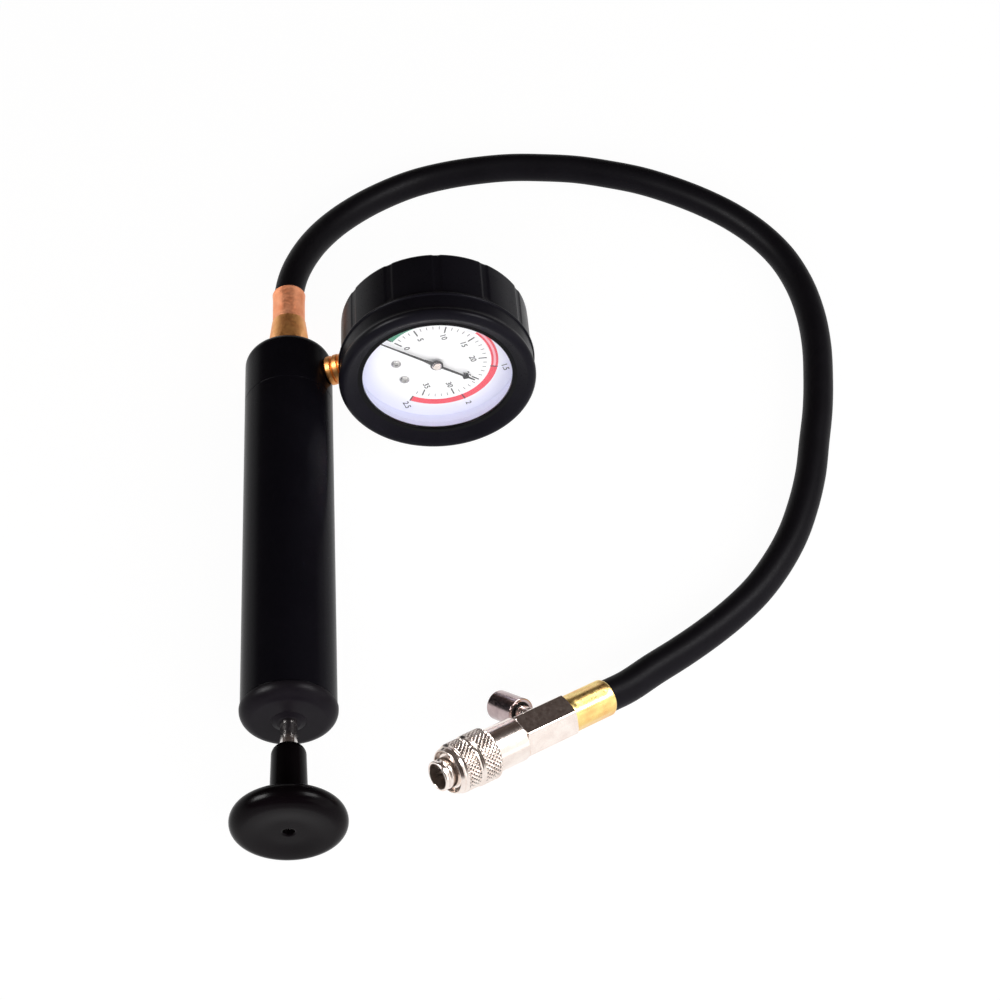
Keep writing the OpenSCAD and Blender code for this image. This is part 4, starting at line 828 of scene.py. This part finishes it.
# coupler
def couplerParts():
    ferrule1 = spanMm("coupler_ferrule", coupler)[1]
    _, front, bodyR = spanMm("coupler_tube", coupler)
    sleeve0, sleeve1, sleeveR = spanMm("coupler_sleeve", coupler)
    facts = {"flats": 15.2, "hexLong": 23, "hexTurn": -math.radians(2), "coneRear": 8.0, "coneFront": 7.5,
             "cone": 1.9, "bodyEnd": 58, "rail": 6.7, "nose": 5.7, "groove": 0.55, "grooveAt": 2.0,
             "socket": 4.8, "socketDepth": 6.5, "seat": 5.1, "seatDepth": 20, "bore": 2.5}
    hexFront = ferrule1 + facts["hexLong"]
    nose, groove, grooveZ = facts["nose"], facts["nose"] - facts["groove"], front - facts["grooveAt"]
    crimpedPiece = crimped("couplerCrimp", coupler, "coupler_ferrule", "yellowBrass", "brass")
    block = hexPiece("couplerHex", coupler, ferrule1, hexFront, facts["flats"],
                     lambda z: np.minimum(facts["coneRear"] + (z - ferrule1) * facts["cone"],
                                          facts["coneFront"] + (hexFront - z) * facts["cone"]),
                     facts["hexTurn"], "nickel", "nickel", "coupler_block")
    profile = [(4.0, hexFront), (bodyR, hexFront, 0.3), (bodyR, facts["bodyEnd"], 0.3),
               (facts["rail"], facts["bodyEnd"]), (facts["rail"], sleeve1 - 1, 0.3), (nose, sleeve1 - 1, 0.1),
               (nose, grooveZ - 0.7, 0.25), (groove, grooveZ - 0.3, 0.2), (groove, grooveZ + 0.3, 0.2),
               (nose, grooveZ + 0.7, 0.25), (nose, front, 0.4), (facts["socket"], front, 0.25),
               (facts["socket"], front - facts["socketDepth"], 0.1),
               (facts["seat"], front - facts["socketDepth"], 0.1),
               (facts["seat"], front - facts["seatDepth"]), (facts["bore"], front - facts["seatDepth"]),
               (facts["bore"], hexFront)]
    tube = dress(turned("couplerTube", profile, coupler, 160, closeRows=True), "pump", "nickel", "nickel",
                 "coupler_tube")
    return [crimpedPiece, block, tube, knurledSleeve(sleeve0, sleeve1, sleeveR)]


def knurledSleeve(z0, z1, rear):
    # a turned profile whose radius dips where two opposed sets of helical grooves cross the knurled bands
    facts = {"front": 9.45, "count": 34, "depth": 0.5, "pitch": 1.9, "land": 0.35, "shoe": 8.6, "flange": 7.0,
             "mouth": 7.8, "step": 0.18}
    front, mouth = facts["front"], facts["mouth"]
    bandA = (z0 + 0.6, z0 + 7.7)
    bandB = (z0 + 9.7, z1 - 3.0)
    profile = [(facts["shoe"], z0 + 10.6), (facts["shoe"], z0, 0.2), (rear - 0.5, z0, 0.3),
               (rear, bandA[0], 0.2), (rear, bandA[1], 0.2), (rear - 0.8, z0 + 8.3, 0.3),
               (front - 0.7, z0 + 8.7, 0.3), (front - 0.7, z0 + 9.2, 0.2), (front, bandB[0], 0.2),
               (front, bandB[1], 0.2), (front - 0.8, z1 - 2.5, 0.2), (front - 0.8, z1 - 1.8, 0.2),
               (front - 0.55, z1 - 1.4, 0.3), (front - 1.2, z1, 0.4), (mouth, z1, 0.2), (mouth, z1 - 4),
               (facts["flange"], z1 - 4),
               (facts["flange"], z0 + 10.6)]
    line = denser(roundedProfile(profile), facts["step"], beyond=9.2)
    angle = fullTurn(facts["count"] * 12)
    z, r = line[:, 1] / mm, line[:, 0] / mm
    inBand = np.zeros(len(line))
    for low, high in (bandA, bandB):
        inBand = np.maximum(inBand, np.clip((z - low) / 0.3, 0, 1) * np.clip((high - z) / 0.3, 0, 1))
    inBand *= r > front - 0.3
    turns, climb = angle[None] * facts["count"] / (2 * np.pi), z[:, None] / facts["pitch"]
    left = np.abs(np.mod(turns + climb, 1) - 0.5) * 2
    right = np.abs(np.mod(turns - climb, 1) - 0.5) * 2
    dip = np.clip(np.maximum(left, right) - facts["land"], 0, 1) / (1 - facts["land"])
    radius = (r[:, None] - facts["depth"] * inBand[:, None] * dip) * mm
    piece = gridPiece("knurledSleeve", toWorld(coupler, ringGrid(radius, line[:, 1:], angle)), closeRows=True,
                      sharp=50)
    return dress(piece, "sleeve", "nickel", "nickel", "coupler_sleeve")


def releaseParts():
    knob0, knob1, knobR = spanMm("release_knob", release)
    facts = {"wall": 1.1, "neck": 3.6, "dish": 0.35, "stem": 3.25, "groove": 2.8, "grooveAt": 11.4,
             "bore": 1.3, "boreDepth": 6, "cupShade": 0.6}
    wall, floor = knobR - facts["wall"], knob0 + facts["dish"]
    cup = [(0.01, knob1 - 2), (wall, knob1 - 2, 0.3), (wall, knob0 + 1, 0.2), (facts["neck"], knob0 + 1, 0.1),
           (facts["neck"], floor, 0.1), (wall - 0.4, floor), (knobR - 0.5, knob0, 0.25), (knobR, knob0, 0.35),
           (knobR, knob1, 0.7), (0.01, knob1)]
    # the cup is nickel, darkened as painted shade
    piece = dress(turned("releaseCup", cup, release, 96), "release", "shadedNickel", "nickel", "release_knob")
    _, stem1, stemR = spanMm("release_stem", release)
    thick, groove, middle = facts["stem"], facts["groove"], facts["grooveAt"]
    stem = [(0.01, 6), (thick, 6), (thick, middle - 0.9, 0.2), (groove, middle - 0.4, 0.2),
            (groove, middle + 0.4, 0.2), (thick, middle + 0.9, 0.2), (thick, stem1 - 1.2, 0.1),
            (stemR, stem1 - 1.2, 0.2), (stemR, stem1, 0.2), (facts["bore"], stem1),
            (facts["bore"], stem1 - facts["boreDepth"]), (0.01, stem1 - facts["boreDepth"])]
    stemPiece = dress(turned("releaseNeck", stem, release, 64), "pump", "nickel", "nickel", "release_stem")
    # a dark ring that stands for the shade inside the cup, seen round the stem: painted shade
    inner, outer, low = thick + 0.2, wall - 0.02, knob0 + 0.3
    cupShade = [(inner, low), (outer, low), (outer, low + facts["cupShade"]), (inner, low + facts["cupShade"])]
    cupShadePiece = dress(turned("cupShadeRing", cupShade, release, 96, closeRows=True), "release", "sealRubber",
                        "seal_rubber")
    return [piece, stemPiece, cupShadePiece]


onHose = couplerParts() + releaseParts()
print("coupler ready")

# inner pieces keep their CAD shapes and get their finishes
innerFinish = {
    "sealRubber": "head_seal rod_seal piston_cup lens_gasket socket_seal check_valve_poppet",
    "innerBrass": "check_valve_seat gauge_socket bourdon_tube bourdon_tip movement_plates movement_posts "
                  "sector_gear link",
    "steel": "piston_nut knob_screw check_valve_spring movement_screws pinion_arbor hairspring sleeve_spring "
             "locking_balls sleeve_ring release_pin release_spring",
    "aluminium": "piston",
    "blackPaint": "gauge_case",
}
for look, names in innerFinish.items():
    for name in names.split():
        node = frame["nodes"][name]
        node.data.materials.clear()
        node.data.materials.append(paint[look])


# floor, world and lamps
def bareSheet(name, half, height, down, values):
    # a square sheet in one material, whose wiring is left to the caller
    corners = [(-half, -half, height), (half, -half, height), (half, half, height), (-half, half, height)]
    mesh = bpy.data.meshes.new(name)
    mesh.from_pydata(corners, [], [(0, 3, 2, 1) if down else (0, 1, 2, 3)])
    sheet = bpy.data.objects.new(name, mesh)
    bpy.context.scene.collection.objects.link(sheet)
    material, tree, shader = newMaterial(name, values)
    mesh.materials.append(material)
    return tree, shader


def makeFloor():
    # camera, glossy and transmission rays see a share of plain glow, and the rest lights as matt card
    facts = {"half": 3.0, "share": 0.86, "strength": 1.12}
    tree, shader = bareSheet("floor", facts["half"], 0, False, {"Base Color": (0.93, 0.93, 0.93, 1),
                                                                "Roughness": 0.9, "Specular IOR Level": 0.0})
    glow = addNode(tree, "Emission", {"Strength": facts["strength"]})
    ray = addNode(tree, "LightPath")
    seen = addNode(tree, "Math", operation="MAXIMUM")
    seenToo = addNode(tree, "Math", operation="MAXIMUM")
    share = addNode(tree, "Math", {1: facts["share"]}, "MULTIPLY")
    mix = addNode(tree, "MixShader")
    wire(tree, (ray, "Is Camera Ray", seen, 0), (ray, "Is Glossy Ray", seen, 1), (seen, 0, seenToo, 0),
         (ray, "Is Transmission Ray", seenToo, 1), (seenToo, 0, share, 0), (share, 0, mix, 0),
         (shader, 0, mix, 1), (glow, 0, mix, 2), (mix, 0, tree.nodes["Material Output"], "Surface"))


def makeCeiling():
    # the studio's dark ceiling, which the tops of bright metal show
    facts = {"half": 12.0, "height": 1.8, "colour": (0.13, 0.1, 0.09, 1)}
    bareSheet("ceiling", facts["half"], facts["height"], True, {"Base Color": facts["colour"],
                                                                "Roughness": 0.9, "Specular IOR Level": 0.0})


def lamp(name, location, target, size, power, reflected=True, diffuse=True):
    data = bpy.data.lights.new(name, "AREA")
    data.shape = "RECTANGLE"
    data.size, data.size_y = size
    data.energy = power
    light = bpy.data.objects.new(name, data)
    light.location = location
    light.visible_glossy, light.visible_diffuse = reflected, diffuse
    light.rotation_euler = (Vector(target) - Vector(location)).to_track_quat("-Z", "Y").to_euler()
    bpy.context.scene.collection.objects.link(light)


makeFloor()
makeCeiling()
world = bpy.data.worlds.new("studio")
world.use_nodes = True
setValues(world.node_tree.nodes["Background"], {"Color": (1, 1, 1, 1), "Strength": 0.7})
bpy.context.scene.world = world
lamp("keyLeft", (-0.95, 0.0, 0.85), (0, 0, 0), (0.5, 0.5), 20, diffuse=False)
lamp("keyRight", (0.85, 0.05, 0.95), (0, 0, 0), (0.5, 0.5), 13, diffuse=False)
lamp("cardRight", (1.35, -0.5, 0.5), (0.05, 0, 0.03), (1.9, 1.1), 7.5)
lamp("front", (0.1, -1.25, 0.6), (0, 0, 0.03), (1.8, 1.0), 12.5, reflected=False)
bpy.context.scene.view_settings.view_transform = "Standard"
print("stage ready")
